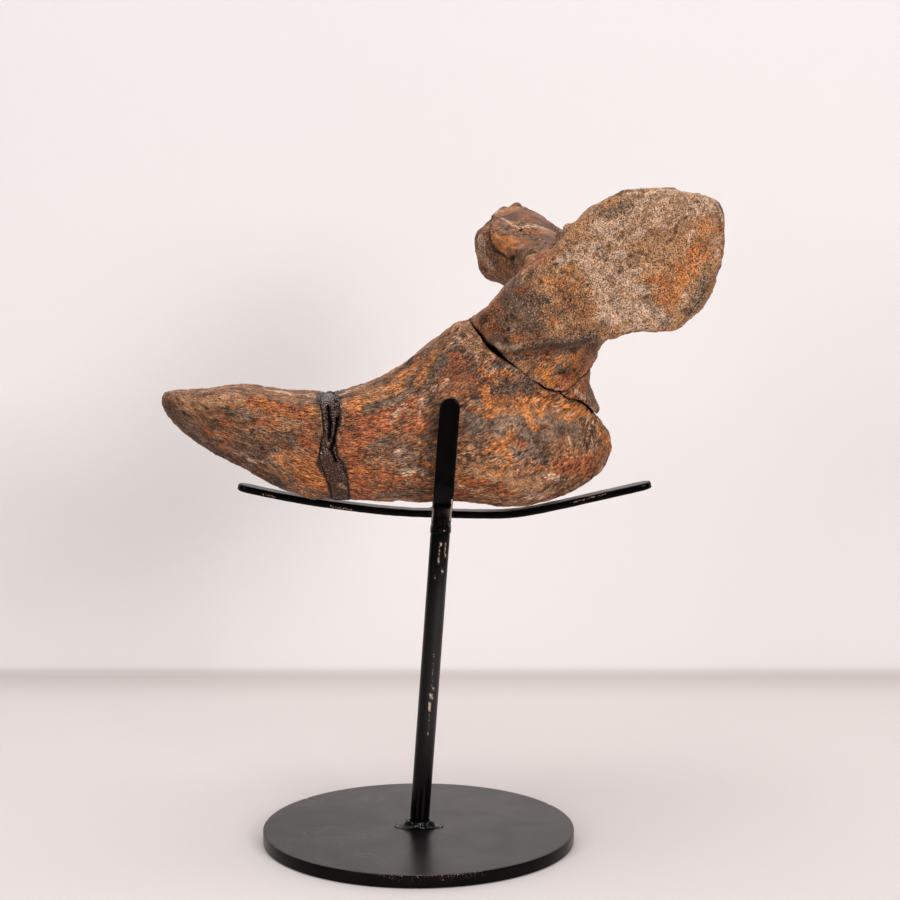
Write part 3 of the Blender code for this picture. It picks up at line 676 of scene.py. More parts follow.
spineLook = dict(
    node="spine_fragment", piece="boneSpine", seams=("repair_band", "body_fragment"),
    voxel=0.5 * mm, soften=26, turn=None, seed=3, sandy=0.12,
    dents=0.55, lumps=0.26, grooves=0.55, grains=0.22, pits=0.7, pitSpacing=4.5,
    pitChance=0.12, chips=0.5, shadeAndWearDepth=0.9,
    hiddenStains=dict(rust=8, ochre=7, ash=9, chalk=4), smearReach=1.3,
    closed=(),
    carved=(
        (0.8, -0.9, 191,406), (0.7, -0.8, 198,400, 200,400), (1, -0.5, 190,416, 205,420),
        (1.3, 0.45, 166,393, 240,397, 312,396), (1.2, -0.35, 175,428, 205,447, 240,463),
        (5, -0.5, 289,387, 305,388, 320,388), (5, -0.5, 173,429, 184,438)),
    stains=dict(
        smooth=((6, 1, 170,391, 200,389, 240,388, 300,392),),
        sand=((5, 0.4, 182,404, 215,402, 240,400),),
        chalk=(
            # the first stroke, pale along the top: partly the bone's own pale colour, partly
            # painted light on the lit top
            (4.5, 0.44, 172,392, 215,389, 245,386, 285,393, 318,397),
            (1.2, 0.4, 222,398, 236,399, 252,396), (1.4, 0.5, 244,458, 262,462),
            (1.2, 0.4, 262,430, 266,434)),
        ash=(
            (3, 0.62, 228,409, 240,412, 250,416),
            # this long stroke along the lower edge: partly grey stain, partly painted shade on
            # the lower side
            (8, 0.52, 181,418, 200,440, 237,452, 262,462, 280,476),
            (7, 0.38, 248,440, 272,444, 300,438), (4, 0.45, 166,404, 178,418),
            (2, 0.5, 246,434, 262,430), (2.5, 0.5, 295,402, 312,402)),
        ochre=(
            (7, 0.22, 236,404, 270,406, 300,408), (3, 0.38, 262,402, 282,408),
            (3, 0.6, 278,459, 300,460, 318,463), (7, 0.5, 290,466, 306,474, 322,486),
            (2.5, 0.5, 305,405, 312,410), (2, 0.45, 262,468, 285,478)),
        # painted shade along the lower side of the spine
        paintedShade=(
            (9, 0.75, 170,412, 178,424, 200,444, 240,464, 280,482),
            (7, 0.42, 250,438, 290,442, 300,436), (3, 0.5, 214,410, 236,412)),
        tar=(
            (2.4, 0.95, 319,394, 320,402), (1.8, 0.75, 322,406, 323,416),
            (1.6, 0.65, 323,436, 321,450), (1.8, 0.75, 319,464, 322,470),
            (1.8, 0.8, 324,462, 329,472, 333,484, 334,494)),
        rust=(
            (1.9, 0.75, 223,423, 228,425), (2.4, 1, 224,436, 229,440),
            (2.4, 0.66, 222,446, 228,449), (1.6, 0.6, 206,432, 211,435),
            (2.4, 0.55, 286,404, 292,410), (2.8, 0.55, 258,420, 275,424),
            (5, 0.52, 250,404, 300,412, 312,425), (5, 0.62, 306,440, 318,455, 318,470),
            (5, 0.6, 300,478, 322,488)),
    ),
)

bodyLook = dict(
    node="body_fragment", piece="boneBody",
    seams=("repair_band", "spine_fragment", "arch_fragment", "wedge_chip"),
    voxel=0.54 * mm, soften=26, turn=None, seed=5, sandy=0.15,
    dents=0.6, lumps=0.30, grooves=0.60, grains=0.24, pits=0.7, pitSpacing=5.0,
    pitChance=0.16, chips=0.6, shadeAndWearDepth=0.9,
    hiddenStains=dict(rust=14, ochre=12, ash=12, chalk=6), smearReach=1.3,
    closed=neckCrack,
    carved=(
        (1.6, -0.5, 352,396, 380,389, 402,376), (1.2, -0.4, 384,402, 408,392, 432,371, 452,352),
        (0.8, -0.6, 404,492, 406,493), (1.6, -0.9, 556,487, 566,491),
        (1.2, -0.5, 596,470, 606,462), (0.7, -0.7, 481,448, 487,447),
        (0.6, 0.4, 567,435, 572,447), (1.6, 0.5, 470,352, 486,364, 505,370), (5, 0.35, 610,446),
        (3, -0.4, 609,457), (5, -1.1, 600,413, 606,419), (6, -1, 611,427, 614,436),
        (5, -1, 443,331, 450,326, 458,321)),
    stains=dict(
        smooth=(
            (3, 0.8, 338,394, 366,384, 396,369, 425,348, 450,328), (3, 0.6, 484,386, 486,392),
            (17, 0.6, 478,425, 520,430, 570,430), (12, 0.45, 380,420, 420,440, 450,390),
            (12, 0.3, 400,470, 470,450)),
        sand=((9, 0.45, 480,470, 520,480, 545,490), (8, 0.35, 505,405, 540,412, 575,425)),
        # painted shade: darker places under the arch, along the edges and by the cracks, and
        # the painted shadow that the prong casts to its left
        paintedShade=(
            (14, 1.15, 440,356, 452,366, 468,374), (7, 0.8, 500,396, 514,388, 530,386),
            (4, 0.6, 556,390, 576,402, 592,410), (6.5, 1, 416,384, 434,388, 450,381),
            (5.5, 1.15, 435,396, 433,420, 430,445, 427,466), (5, 0.9, 498,400, 512,399),
            (7, 0.85, 345,396, 380,382, 410,362, 436,344),
            (4, 0.42, 345,494, 400,499, 440,500, 470,502), (5, 0.4, 586,472, 600,460, 606,450)),
        # painted shadow of the prong on the bone, beside it
        paintedShadeAndPinholes=((4.5, 0.38, 437,400, 434,420, 431,440),),
        tar=(
            (1.3, 0.85, 340,403, 340,412, 339,424), (1.2, 0.6, 335,436, 335,448),
            (1.6, 0.8, 343,464, 345,476, 346,494)),
        chalk=(
            (4, 0.22, 540,405, 575,412), (4, 0.52, 588,420, 595,430, 593,444),
            (5, 0.22, 505,470, 530,476, 550,480), (0.8, 0.52, 391,424, 396,414, 404,404),
            (4, 0.26, 400,452, 412,461, 405,480), (3, 0.34, 418,402, 432,392, 446,383),
            (2.6, 0.55, 545,474, 556,478), (3, 0.35, 460,486, 478,490),
            (2.6, 0.4, 416,470, 426,476), (3, 0.55, 526,494, 542,497),
            (0.8, 0.75, 567,435, 572,447), (2.2, 0.5, 452,344, 458,338),
            (3, 0.5, 335,394, 360,387), (4, 0.42, 470,352, 482,362, 492,370)),
        ash=(
            (9, 0.52, 395,452, 410,460, 412,476), (8, 0.56, 472,422, 500,426, 524,428),
            (9, 0.44, 545,424, 568,430), (8, 0.5, 534,446, 540,462),
            (4, 0.66, 470,362, 476,374), (5, 0.7, 500,392, 510,388, 528,386),
            (4, 0.6, 432,350, 436,360), (5, 0.5, 362,446, 370,450),
            (3, 0.6, 556,390, 574,402, 590,408), (3, 0.5, 350,494, 400,496, 430,494),
            (1.7, 0.8, 366,409, 384,403, 400,398, 412,386),
            (2.6, 0.8, 406,382, 416,378, 428,373), (2.6, 0.8, 436,368, 446,358, 454,350),
            (1.5, 0.66, 358,452, 372,446, 386,440), (4, 0.45, 390,458, 408,456),
            (2.2, 0.66, 437,418, 428,440, 430,470), (2.8, 0.78, 496,366, 510,371, 520,376),
            (3, 1.1, 499,396, 507,391, 512,388), (4.4, 0.62, 480,420, 496,422, 509,430),
            (4.4, 0.5, 558,424, 576,432), (4, 0.55, 535,434, 548,438),
            (2.6, 0.6, 480,448, 492,452), (2.6, 0.66, 503,460, 514,458),
            (1.6, 0.7, 479,395, 481,405, 483,416), (2.2, 0.6, 425,386, 440,376),
            (2.4, 0.5, 516,452, 525,458)),
        ochre=(
            (6, 0.44, 349,404, 377,394, 400,380, 418,364), (7, 0.5, 488,404, 530,400, 580,410),
            (6, 0.3, 500,468, 545,464, 586,452), (2.2, 0.5, 349,400, 377,391, 400,380),
            (2.8, 1, 400,374, 412,367, 417,363), (2.4, 0.95, 418,382, 428,366, 434,352),
            (2.6, 1.1, 481,370, 487,374), (1.4, 0.78, 487,372, 495,378, 497,384),
            (1.6, 0.8, 480,388, 488,388, 484,394), (3.4, 1.2, 488,414, 494,406, 497,400),
            (2.2, 0.72, 504,372, 508,374), (2.4, 1.15, 487,452, 497,447, 508,441, 511,434),
            (1.5, 0.8, 499,447, 508,456, 512,463), (2.1, 1.1, 524,404, 528,412, 530,424),
            (1.8, 0.9, 532,426, 538,430), (4.6, 0.58, 516,400, 530,404, 540,410),
            (2.6, 0.66, 566,408, 576,408, 590,416, 597,424),
            (3.4, 0.74, 600,430, 607,440, 610,448), (1.2, 0.6, 424,446, 436,440),
            (1.8, 0.6, 420,462, 432,466), (6, 0.3, 462,484, 490,470, 520,468),
            (2.4, 0.6, 540,466, 548,474), (0.8, 0.8, 432,430, 438,426),
            (1.6, 0.6, 345,468, 372,470)),
        rust=(
            (10, 0.56, 352,420, 352,450, 356,478), (9, 0.52, 380,424, 400,420, 418,424),
            (6, 0.5, 370,474, 420,484), (8, 0.42, 440,392, 462,380, 486,376),
            (6, 0.5, 440,470, 470,484, 506,490), (6, 0.6, 560,468, 590,462),
            (4.6, 0.78, 344,446, 362,440, 378,430), (4.4, 0.82, 378,430, 392,422, 400,412),
            (2.2, 0.7, 400,408, 424,396), (2.6, 0.6, 352,425, 372,420),
            (2.4, 0.72, 350,476, 378,476, 400,481), (2, 0.6, 352,488, 390,490),
            (3, 1.1, 454,356, 462,362, 468,360), (3.2, 0.5, 450,370, 470,378),
            (1.4, 0.8, 472,408, 475,410), (1.8, 0.62, 458,392, 466,392),
            (2.2, 0.76, 580,461, 596,457, 604,454), (2.8, 1, 562,470, 576,470, 590,464),
            (2.6, 0.7, 584,474, 594,468), (3, 0.56, 482,484, 496,487, 508,490),
            (1.6, 0.66, 533,428, 536,429), (1.6, 0.5, 424,428, 432,424),
            (2.2, 0.5, 516,440, 526,446), (2, 0.5, 545,470, 552,470),
            (3, 1.1, 485,396, 489,403)),
    ),
)

chipLook = dict(
    node="wedge_chip", piece="boneChip", seams=("arch_fragment", "body_fragment"),
    voxel=0.38 * mm, soften=16, turn=None, seed=8, sandy=0.15,
    dents=0.3, lumps=0.26, grooves=0.35, grains=0.22, pits=0.5, pitSpacing=4.0,
    pitChance=0.2, chips=0.4, shadeAndWearDepth=0.9,
    hiddenStains=dict(rust=3, ash=3),
    closed=wedgeCrack,
    carved=((3, -0.5, 592,378, 593,386),),
    moved=((9, (-0.85, 0, 0.7), 601,402, 603,412),),
    stains=dict(
        ash=((1.8, 0.75, 588,392, 594,400), (1.2, 0.6, 590,404, 596,410)),
        rust=((3.2, 0.75, 572,396, 582,390, 586,386),),
        chalk=((1.5, 0.55, 576,392, 584,398), (1, 0.6, 592,408, 596,410)),
    ),
)

archLook = dict(
    node="arch_fragment", piece="boneArch",
    seams=("body_fragment", "wedge_chip", "far_process_fragment"),
    voxel=0.56 * mm, soften=22, turn=38, seed=11, sandy=0.12,
    dents=0.6, lumps=0.48, grooves=0.34, grains=0.52, pits=0.8, pitSpacing=4.2,
    pitChance=0.05, chips=0.6, shadeAndWearDepth=1.7,
    hiddenStains=dict(rust=12, ochre=9, ash=14, chalk=10, sand=14),
    closed=neckCrack + wedgeCrack,
    carved=(
        (0.7, -0.9, 641,255), (0.7, -0.9, 646,257), (1.2, -0.7, 620,213),
        (1, -0.7, 637,246, 640,250), (1.5, -1.6, 551,247, 557,244), (3, 1.8, 560,232, 567,227),
        (1, -0.7, 572,224), (1, -0.7, 617,331, 620,329), (1.5, -0.4, 612,245, 608,248),
        (0.7, -0.6, 551,371, 560,373, 567,371), (1.3, -0.5, 500,336, 508,344, 530,341),
        (1, -0.5, 632,196, 650,199, 668,197, 684,197),
        (1, -0.5, 686,199, 698,204, 701,212, 710,214), (5, 0.5, 720,262, 716,276),
        (1.4, -0.6, 714,292), (3, 0.5, 658,328, 674,329), (4, 0.8, 595,360, 596,366),
        (5, -0.3, 720,284, 716,294), (5, -0.5, 706,312, 698,320), (1.4, -0.6, 722,262),
        (1.6, -0.6, 694,322)),
    stains=dict(
        smooth=(
            (5, 0.8, 476,322, 486,334, 494,344), (2, 0.7, 500,346, 520,348),
            (1.6, 0.7, 640,190, 664,189, 694,192, 716,201, 724,222),
            (5, 0.5, 560,358, 582,352, 590,366), (4.5, 0.9, 514,268, 530,258, 546,249)),
        sand=(
            (14, 0.62, 528,300, 540,312), (17, 1, 560,290, 600,280, 650,270, 690,260),
            (15, 1, 562,318, 610,315, 660,305, 690,290), (16, 1, 585,240, 630,222, 690,222),
            (9, 0.8, 560,262, 580,250)),
        # painted shade on the sides turned down and under the overhanging ridge at the neck
        paintedShade=(
            (12, 0.95, 492,320, 506,298, 520,300, 540,316), (10, 0.64, 566,292, 580,306),
            (6, 0.85, 496,342, 512,354, 545,348, 590,338),
            (4.5, 0.8, 566,333, 586,328, 603,330), (7, 0.72, 570,372, 590,352),
            (3.5, 0.55, 556,246, 552,252), (5, 0.5, 706,282, 698,300, 688,316)),
        chalk=(
            (9, 0.62, 588,250, 600,280, 616,316), (10, 0.46, 612,232, 640,214, 690,210),
            (8, 0.56, 616,262, 630,286, 640,322), (6, 0.42, 664,216, 690,230),
            (5, 0.5, 634,196, 664,195, 694,199, 714,208), (5, 0.4, 640,262, 634,290, 630,320),
            (4, 0.4, 680,310, 684,300), (3.4, 0.66, 560,262, 574,254, 588,248),
            (3.4, 0.66, 594,228, 602,222, 608,236), (2.6, 0.62, 626,242, 636,236, 643,231),
            (5.5, 0.52, 610,262, 614,282, 618,300), (2.4, 0.62, 645,203, 652,199),
            (2, 0.62, 662,226, 668,223),
            (1.5, 0.75, 634,190, 664,189, 694,193, 716,202, 723,222),
            (2, 0.62, 497,345, 508,349, 524,346), (2.4, 0.55, 650,308, 664,314, 655,322),
            (3, 0.5, 600,316, 612,320), (2.4, 0.5, 692,204, 700,210, 684,208),
            (3, 0.45, 716,238, 718,254)),
        ash=(
            (10, 0.6, 508,290, 516,310, 530,322), (5, 0.55, 598,212, 616,210, 628,206),
            (5, 0.5, 644,290, 656,306, 664,322), (4, 0.55, 706,276, 698,300, 692,312),
            (6, 0.62, 496,340, 512,352, 545,348, 590,340), (4, 0.5, 575,372, 568,362),
            (2.2, 0.6, 520,274, 524,268, 532,262),
            (4.5, 0.62, 514,298, 524,304, 534,300, 545,297), (2.4, 0.62, 617,252, 624,256),
            (2.6, 0.74, 646,293, 650,300), (2, 0.62, 652,312, 662,313),
            (2.6, 0.55, 598,250, 606,258), (2.4, 0.72, 556,354, 566,350, 574,346),
            (2.4, 0.72, 556,364, 566,368), (3, 0.7, 580,344, 592,341, 598,340),
            (2, 0.6, 698,252, 704,254), (3, 0.5, 500,320, 510,330),
            (2.4, 0.56, 580,212, 592,206), (4, 0.5, 700,300, 690,310),
            (1.6, 0.62, 601,281, 608,285)),
        ochre=(
            (9, 0.42, 548,290, 572,300, 580,318), (9, 0.44, 664,300, 680,280, 696,256, 706,236),
            (5, 0.45, 545,366, 560,362, 582,362), (5.5, 0.4, 574,272, 590,282, 596,300),
            (3.5, 0.4, 545,318, 560,326, 580,322), (2.6, 0.76, 572,358, 578,366, 574,376),
            (2.4, 0.7, 538,370, 546,376, 552,384), (1.6, 0.62, 508,354, 530,352)),
        rust=(
            (7, 0.55, 664,292, 672,282, 690,262), (6, 0.5, 478,322, 490,312, 498,300),
            (5, 0.66, 516,270, 536,259, 550,250), (5, 0.5, 560,380, 580,376, 590,362),
            (1.5, 0.72, 519,294, 523,289), (2, 0.5, 474,328, 488,318),
            (2.4, 0.55, 544,262, 556,252), (2.4, 0.62, 648,281, 656,277, 662,276),
            (2, 0.6, 634,294, 636,290), (2.2, 0.6, 672,268, 678,267),
            (3, 0.6, 688,258, 694,250), (1.4, 0.7, 702,223, 706,222), (1.1, 0.6, 691,228),
            (1.1, 0.6, 698,241), (1.4, 0.6, 708,257, 712,253), (2, 0.6, 662,291, 668,288),
            (2.4, 0.6, 586,372, 594,360), (2, 0.62, 552,392, 574,390, 584,380),
            (3, 0.5, 486,330, 494,326), (1.5, 0.55, 512,340, 518,338)),
        # painted shade under the knob and under the overhang at the neck
        paintedShadeAndPinholes=((1.1, 0.9, 552,244, 556,245), (1.4, 0.5, 505,354, 530,349, 560,345, 590,340)),
    ),
)

farLook = dict(
    node="far_process_fragment", piece="boneFarProcess", seams=("arch_fragment",),
    voxel=0.42 * mm, soften=7, turn=-16, seed=17, sandy=0.0,
    dents=0.25, lumps=0.26, grooves=0.26, grains=0.26, pits=0.6, pitSpacing=4.0,
    pitChance=0.15, chips=0.5, shadeAndWearDepth=1.0,
    hiddenStains=dict(rust=8, ochre=6, ash=9, chalk=6, sand=8),
    closed=(),
    carved=(
        (4, 1, 516,205), (2.2, 0.7, 517,205), (4.5, -1.3, 536,210, 547,217), (2, -1.2, 489,221),
        (3.2, 1.3, 494,214, 502,209), (2, 0.3, 480,236, 479,250), (3, -0.7, 483,258, 484,268),
        (4, -1.8, 498,288, 505,291), (1.5, -0.9, 491,222, 487,236, 492,250, 506,258),
        (1.1, -0.5, 484,240, 483,247), (1.3, -0.5, 486,258, 492,268),
        (1, 0.5, 502,219, 510,224, 519,229), (2.2, -0.5, 502,227, 514,234, 535,236),
        (1.4, -1.2, 507,262, 513,259), (1.2, 0.5, 495,236, 505,248, 522,250)),
    stains=dict(
        smooth=(
            (8, 1, 500,238, 512,246, 535,244, 550,238),
            (8, 1, 510,212, 526,214, 542,222, 552,232), (5, 1, 500,212, 508,222)),
        sand=((4.6, 0.3, 481,236, 482,256, 490,272, 500,274),),
        # painted shade
        paintedShade=((5, 0.6, 514,214, 530,218, 546,226), (3, 0.3, 488,258, 494,266)),
        chalk=(
            (0.9, 1, 502,219, 510,224, 519,229), (3, 0.46, 495,215, 502,211),
            (1.5, 0.8, 520,227, 532,226, 546,229, 554,232),
            (3.2, 0.6, 481,240, 483,258, 491,266)),
        ash=(
            (6, 0.5, 512,214, 530,216, 545,224),
            (1.6, 0.95, 502,225, 508,231, 516,235, 534,236), (3.4, 0.5, 488,258, 494,266),
            (1.6, 0.8, 483,239, 482,246), (2, 0.62, 540,221, 552,229),
            (1.4, 0.9, 530,257, 542,246, 552,238)),
        ochre=((7, 0.5, 497,238, 503,244, 510,246), (1, 0.9, 493,236, 498,246, 506,254)),
        rust=(
            (3.6, 0.38, 512,212, 524,214, 534,220), (1.4, 0.8, 508,237, 516,239, 526,240),
            (1.2, 0.6, 530,233, 538,231), (1.6, 0.9, 505,264, 508,270)),
        # painted shade in the groove round the rim lump and in the small hole
        paintedShadeAndPinholes=((1.3, 0.75, 491,224, 489,236, 494,250, 506,258), (1.3, 0.95, 509,260, 513,258)),
    ),
)

for boneSettings in (spineLook, bodyLook, chipLook, archLook, farLook):
    makeBone(boneSettings, fossilBone)

# black filler in the break

fillerLook = dict(
    node="repair_band", piece="fillerBand", voxel=0.34 * mm, soften=8, seed=23,
    black=(0.0040, 0.0030, 0.0030), dark=(0.046, 0.025, 0.019), brown=(0.070, 0.037, 0.029),
    # glint is the pale of the painted highlights on the glossy black
    crumb=(0.23, 0.120, 0.075), glint=(0.66, 0.55, 0.53), stray=(0.56, 0.33, 0.19),
    # noises: scale, detail, roughness and distortion
    broadNoise=(0.35, 4, 0.6, 0.4), fineNoise=(1.15, 3, 0.62, 0.6),
    raggedNoise=(0.9, 5, 0.65, 0.5), crumbNoise=(1.7, 1, 0.5), glintNoise=(1.9, 1, 0.5),
    glintTurn=(0.4, 0.9, 0.2),
    # what dull, skinned and grooved places add or take away
    dullPaint=0.9, dullRagged=1.6, dullRough=0.42, dullGloss=0.38, dullBlobs=0.3,
    dullCrumbs=0.7, skinCrumbs=0.8, skinRough=0.10, skinGloss=0.30, skinLift=0.7, skinCalm=0.75,
    grooveBlack=0.94, grooveGloss=0.50,
    gloss=0.50, bumpStrength=1.0, bumpHeight=1.5 * mm, reach=3 * mm,
    # a noise from and to these levels gives an amount from and to those
    dullFrom=(0.36, 0.54), mottle=(0.42, 0.60, 0.0, 0.9), dullMottle=(0.38, 0.62),
    crumbly=(0.51, 0.62, 0.0, 0.90), glinting=(0.64, 0.70, 0.0, 0.95), strayEdge=(0.44, 0.54),
    roughness=(0.3, 0.7, 0.06, 0.18),
    # relief and its widths in mm, and how it fades beside the bone and over the stand
    blobs=0.80, blobSize=3.0, blobStretch=(1, 1, 0.6), crumbs=0.55, crumbSize=1.2,
    pits=0.9, pitSpacing=2.2, pitPatches=5, pit=(0.12, 0.34), pitLevel=(-0.1, 0.2),
    sag=0.9, sagClear=0.16, sagZ=141.5, sagFade=3, sagCalm=0.8, sagUnder=(0.1, 0.6),
    openSkin=(0.4 * mm, 1.6 * mm), seamFree=(0.3 * mm, 1.1 * mm), restFree=(0.4 * mm, 1.6 * mm),
    carved=(
        (1.2, -1.6, 329,410, 331,424, 330,440),
        (1.1, -1.5, 336,402, 338,420, 335,438, 331,450, 336,462),
        (1.2, 0.8, 333,408, 333,422, 332,434), (1, -0.8, 333,392, 334,401),
        (0.8, -0.9, 325,402, 326,414), (0.8, -0.9, 325,446, 330,456)),
    # strokes where the carved grooves are painted black as shade
    groove=(
        (1.1, 1, 328,406, 330,424, 329,438),
        (1, 1, 333,392, 336,402, 338,420, 335,438, 331,450, 336,462)),
    skin=((4, 1, 323,392, 330,394, 328,399),),
    matte=((6, 1, 328,464, 332,476, 338,494), (2.5, 0.5, 322,430, 322,450)),
    inclusion=((1, 0.95, 339,485, 346,488), (0.6, 0.7, 341,476)),
)


def makeFillerMaterial(look):
    material, tree, shader = newMaterial("glossyBlackFiller")
    place = placeInMm(tree)
    broad = addNoise(tree, place, *look["broadNoise"])
    fine = addNoise(tree, place, *look["fineNoise"])
    ragged = minus(tree, addNoise(tree, place, *look["raggedNoise"]), 0.5)
    groove, skin = addMask(tree, "groove"), addMask(tree, "skin")

    # the lower part has dried dull and brown, with a ragged edge
    dull = plus(tree, times(tree, addMask(tree, "matte"), look["dullPaint"]),
                times(tree, ragged, look["dullRagged"]))
    dull = addRange(tree, dull, *look["dullFrom"])
    colour = addMix(tree, addRange(tree, broad, *look["mottle"]), look["black"], look["dark"])
    dullTone = addMix(tree, addRange(tree, fine, *look["dullMottle"]), look["dark"],
                      look["brown"])
    colour = addMix(tree, dull, colour, dullTone)

    # brown crumbs, and painted highlight: pale glints on the glossy part
    fleck = addNoise(tree, place, *look["crumbNoise"])
    fleck = times(tree, addRange(tree, fleck, *look["crumbly"]),
                  minus(tree, 1.0, times(tree, skin, look["skinCrumbs"])))
    colour = addMix(tree, fleck, colour, look["crumb"])
    turned = addMapping(tree, place, (1, 1, 1), look["glintTurn"])
    glint = addNoise(tree, turned, *look["glintNoise"])
    glint = times(tree, addRange(tree, glint, *look["glinting"]), minus(tree, 1.0, dull))
    colour = addMix(tree, glint, colour, look["glint"])
    # painted shade: the carved grooves painted black
    colour = addMix(tree, times(tree, groove, look["grooveBlack"]), colour, look["black"])
    stray = times(tree, addMask(tree, "inclusion"), addRange(tree, fine, *look["strayEdge"]))
    colour = addMix(tree, stray, colour, look["stray"])

    rough = addRange(tree, fine, *look["roughness"])
    rough = plus(tree, rough, times(tree, dull, look["dullRough"]))
    rough = plus(tree, rough, times(tree, skin, look["skinRough"]), clamp=True)
    gloss = minus(tree, look["gloss"], times(tree, dull, look["dullGloss"]))
    gloss = minus(tree, gloss, times(tree, skin, look["skinGloss"]))
    gloss = minus(tree, gloss, times(tree, groove, look["grooveGloss"]), clamp=True)
    relief = times(tree, plus(tree, fine, broad),
                   minus(tree, 1.0, times(tree, skin, look["skinLift"])))
    wireShader(tree, shader, colour, rough, gloss, relief, look["bumpStrength"],
               look["bumpHeight"])
    return material


def makeFiller(look):
    piece = copyNode(look["node"], look["piece"])
    evenSkin(piece, look["voxel"])
    points = readPoints(piece)
    seam = gapTo(points, ("spine_fragment", "body_fragment"), look["reach"])
    rest = gapTo(points, ("cradle_long_strip",), look["reach"])
    weightGroup(piece, "openSkin", ease01(seam, *look["openSkin"]))
    soften(piece, look["soften"], "openSkin")
    points = readPoints(piece)
    normals = readNormals(piece)
    tree = skinTree(piece.data, points.tolist())
    inMm = points / mm
    seed = look["seed"]
    masks = {name: paintStrokes(points, tree, look[name])
             for name in ("matte", "skin", "inclusion", "groove")}
    matte, skin = masks["matte"], masks["skin"]
    blobs = cloud(inMm * look["blobStretch"], look["blobSize"], 3, seed)
    rise = look["blobs"] * blobs * (1 - look["dullBlobs"] * matte)
    crumbs = cloud(inMm, look["crumbSize"], 2, seed + 1)
    rise += look["crumbs"] * crumbs * (1 - look["dullCrumbs"] * matte)
    holes = 1 - ease01(cells(inMm, look["pitSpacing"], seed + 2), *look["pit"])
    fewer = ease01(cloud(inMm, look["pitPatches"], 2, seed + 3), *look["pitLevel"])
    rise -= look["pits"] * (holes * fewer * (1 - matte))
    sagZ = look["sagZ"]
    lower = 1 - ease01(points[:, 2], sagZ * mm, (sagZ + look["sagFade"]) * mm)
    rise *= (1 - look["skinCalm"] * skin) * (1 - look["sagCalm"] * lower)
    for radius, depth, *spots in look["carved"]:
        path = strokePath(tree, points, spots)
        rise += depth * strokeReach(points, path, radius * mm)
    rise *= ease01(seam, *look["seamFree"])
    rise += edgeLook["lipRise"] * (1 - ease01(seam, *edgeLook["lip"]))
    rise *= ease01(rest, *look["restFree"])
    lower *= ease01(-normals[:, 2], *look["sagUnder"])
    rise += np.clip(rest / mm - look["sagClear"], 0, look["sag"]) * lower
    writePoints(piece, points + normals * (rise * mm)[:, None])
    for name, mask in masks.items():
        saveMask(piece, name, mask)
    piece.data.materials.append(makeFillerMaterial(look))
    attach(piece, "root")
    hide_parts(look["node"])
    print("filler", len(piece.data.polygons) * 2, "triangles")


makeFiller(fillerLook)


# black powder coat of the stand

coatLook = dict(
    black=(0.0007, 0.0006, 0.0006),
    faded=(0.0024, 0.0019, 0.0019),
    dust=(0.300, 0.270, 0.255),
    bare=(0.520, 0.390, 0.310),
    rusty=(0.170, 0.085, 0.055),
    # a noise from and to these levels gives an amount from and to those
    fading=(0.35, 0.70), dusty=(0.775, 0.81, 0.0, 0.5), dustWhere=(0.40, 0.60),
    touched=(0.03, 0.12), halo=(0.40, 0.56, 0.0, 0.75), chip=(0.60, 0.72, 0.0, 1.0),
    roughness=(0.3, 0.7, 0.17, 0.24),
    roughMore=dict(halo=0.35, satin=0.16),
    gloss=0.08, satinGloss=0.34,
    # noises: scale, detail, roughness and distortion
    smudgeNoise=(0.045, 5, 0.6, 0.8), peelNoise=(0.8, 3, 0.55), dustNoise=(1.9, 2, 0.5),
    flakeNoise=(2.4, 2, 0.6), flaking=2.5,
    peelHeight=0.030 * mm, peelStrength=0.6, chipDepth=1.6,
    upward=(0.5, 0.9),
)


def makeCoatMaterial(look):
    material, tree, shader = newMaterial("satinBlackCoat")
    place = placeInMm(tree)
    smudge = addNoise(tree, place, *look["smudgeNoise"])
    peel = addNoise(tree, place, *look["peelNoise"])
    tiny = addNoise(tree, place, *look["dustNoise"])
    flaky = addNoise(tree, place, *look["flakeNoise"])
    worn, satin = addMask(tree, "worn"), addMask(tree, "satin")
    colour = addMix(tree, addRange(tree, smudge, *look["fading"]), look["black"], look["faded"])
    dust = times(tree, addRange(tree, tiny, *look["dusty"]),
                 addRange(tree, smudge, *look["dustWhere"]))
    colour = addMix(tree, dust, colour, look["dust"])

    # where it is knocked, a brown edge round the bare metal
    breakUp = plus(tree, worn, times(tree, minus(tree, flaky, 0.5), look["flaking"]))
    touched = addRange(tree, worn, *look["touched"])
    halo = times(tree, addRange(tree, breakUp, *look["halo"]), touched)
    chip = times(tree, addRange(tree, breakUp, *look["chip"]), touched)
    colour = addMix(tree, halo, colour, look["rusty"])
    colour = addMix(tree, chip, colour, look["bare"])
    rough = addRange(tree, smudge, *look["roughness"])
    rough = plus(tree, rough, times(tree, halo, look["roughMore"]["halo"]), clamp=True)
    rough = plus(tree, rough, times(tree, satin, look["roughMore"]["satin"]), clamp=True)
    gloss = plus(tree, look["gloss"], times(tree, satin, look["satinGloss"]))
    relief = minus(tree, peel, times(tree, chip, look["chipDepth"]))
    wireShader(tree, shader, colour, rough, gloss, relief, look["peelStrength"],
               look["peelHeight"])
    return material


satinBlack = makeCoatMaterial(coatLook)


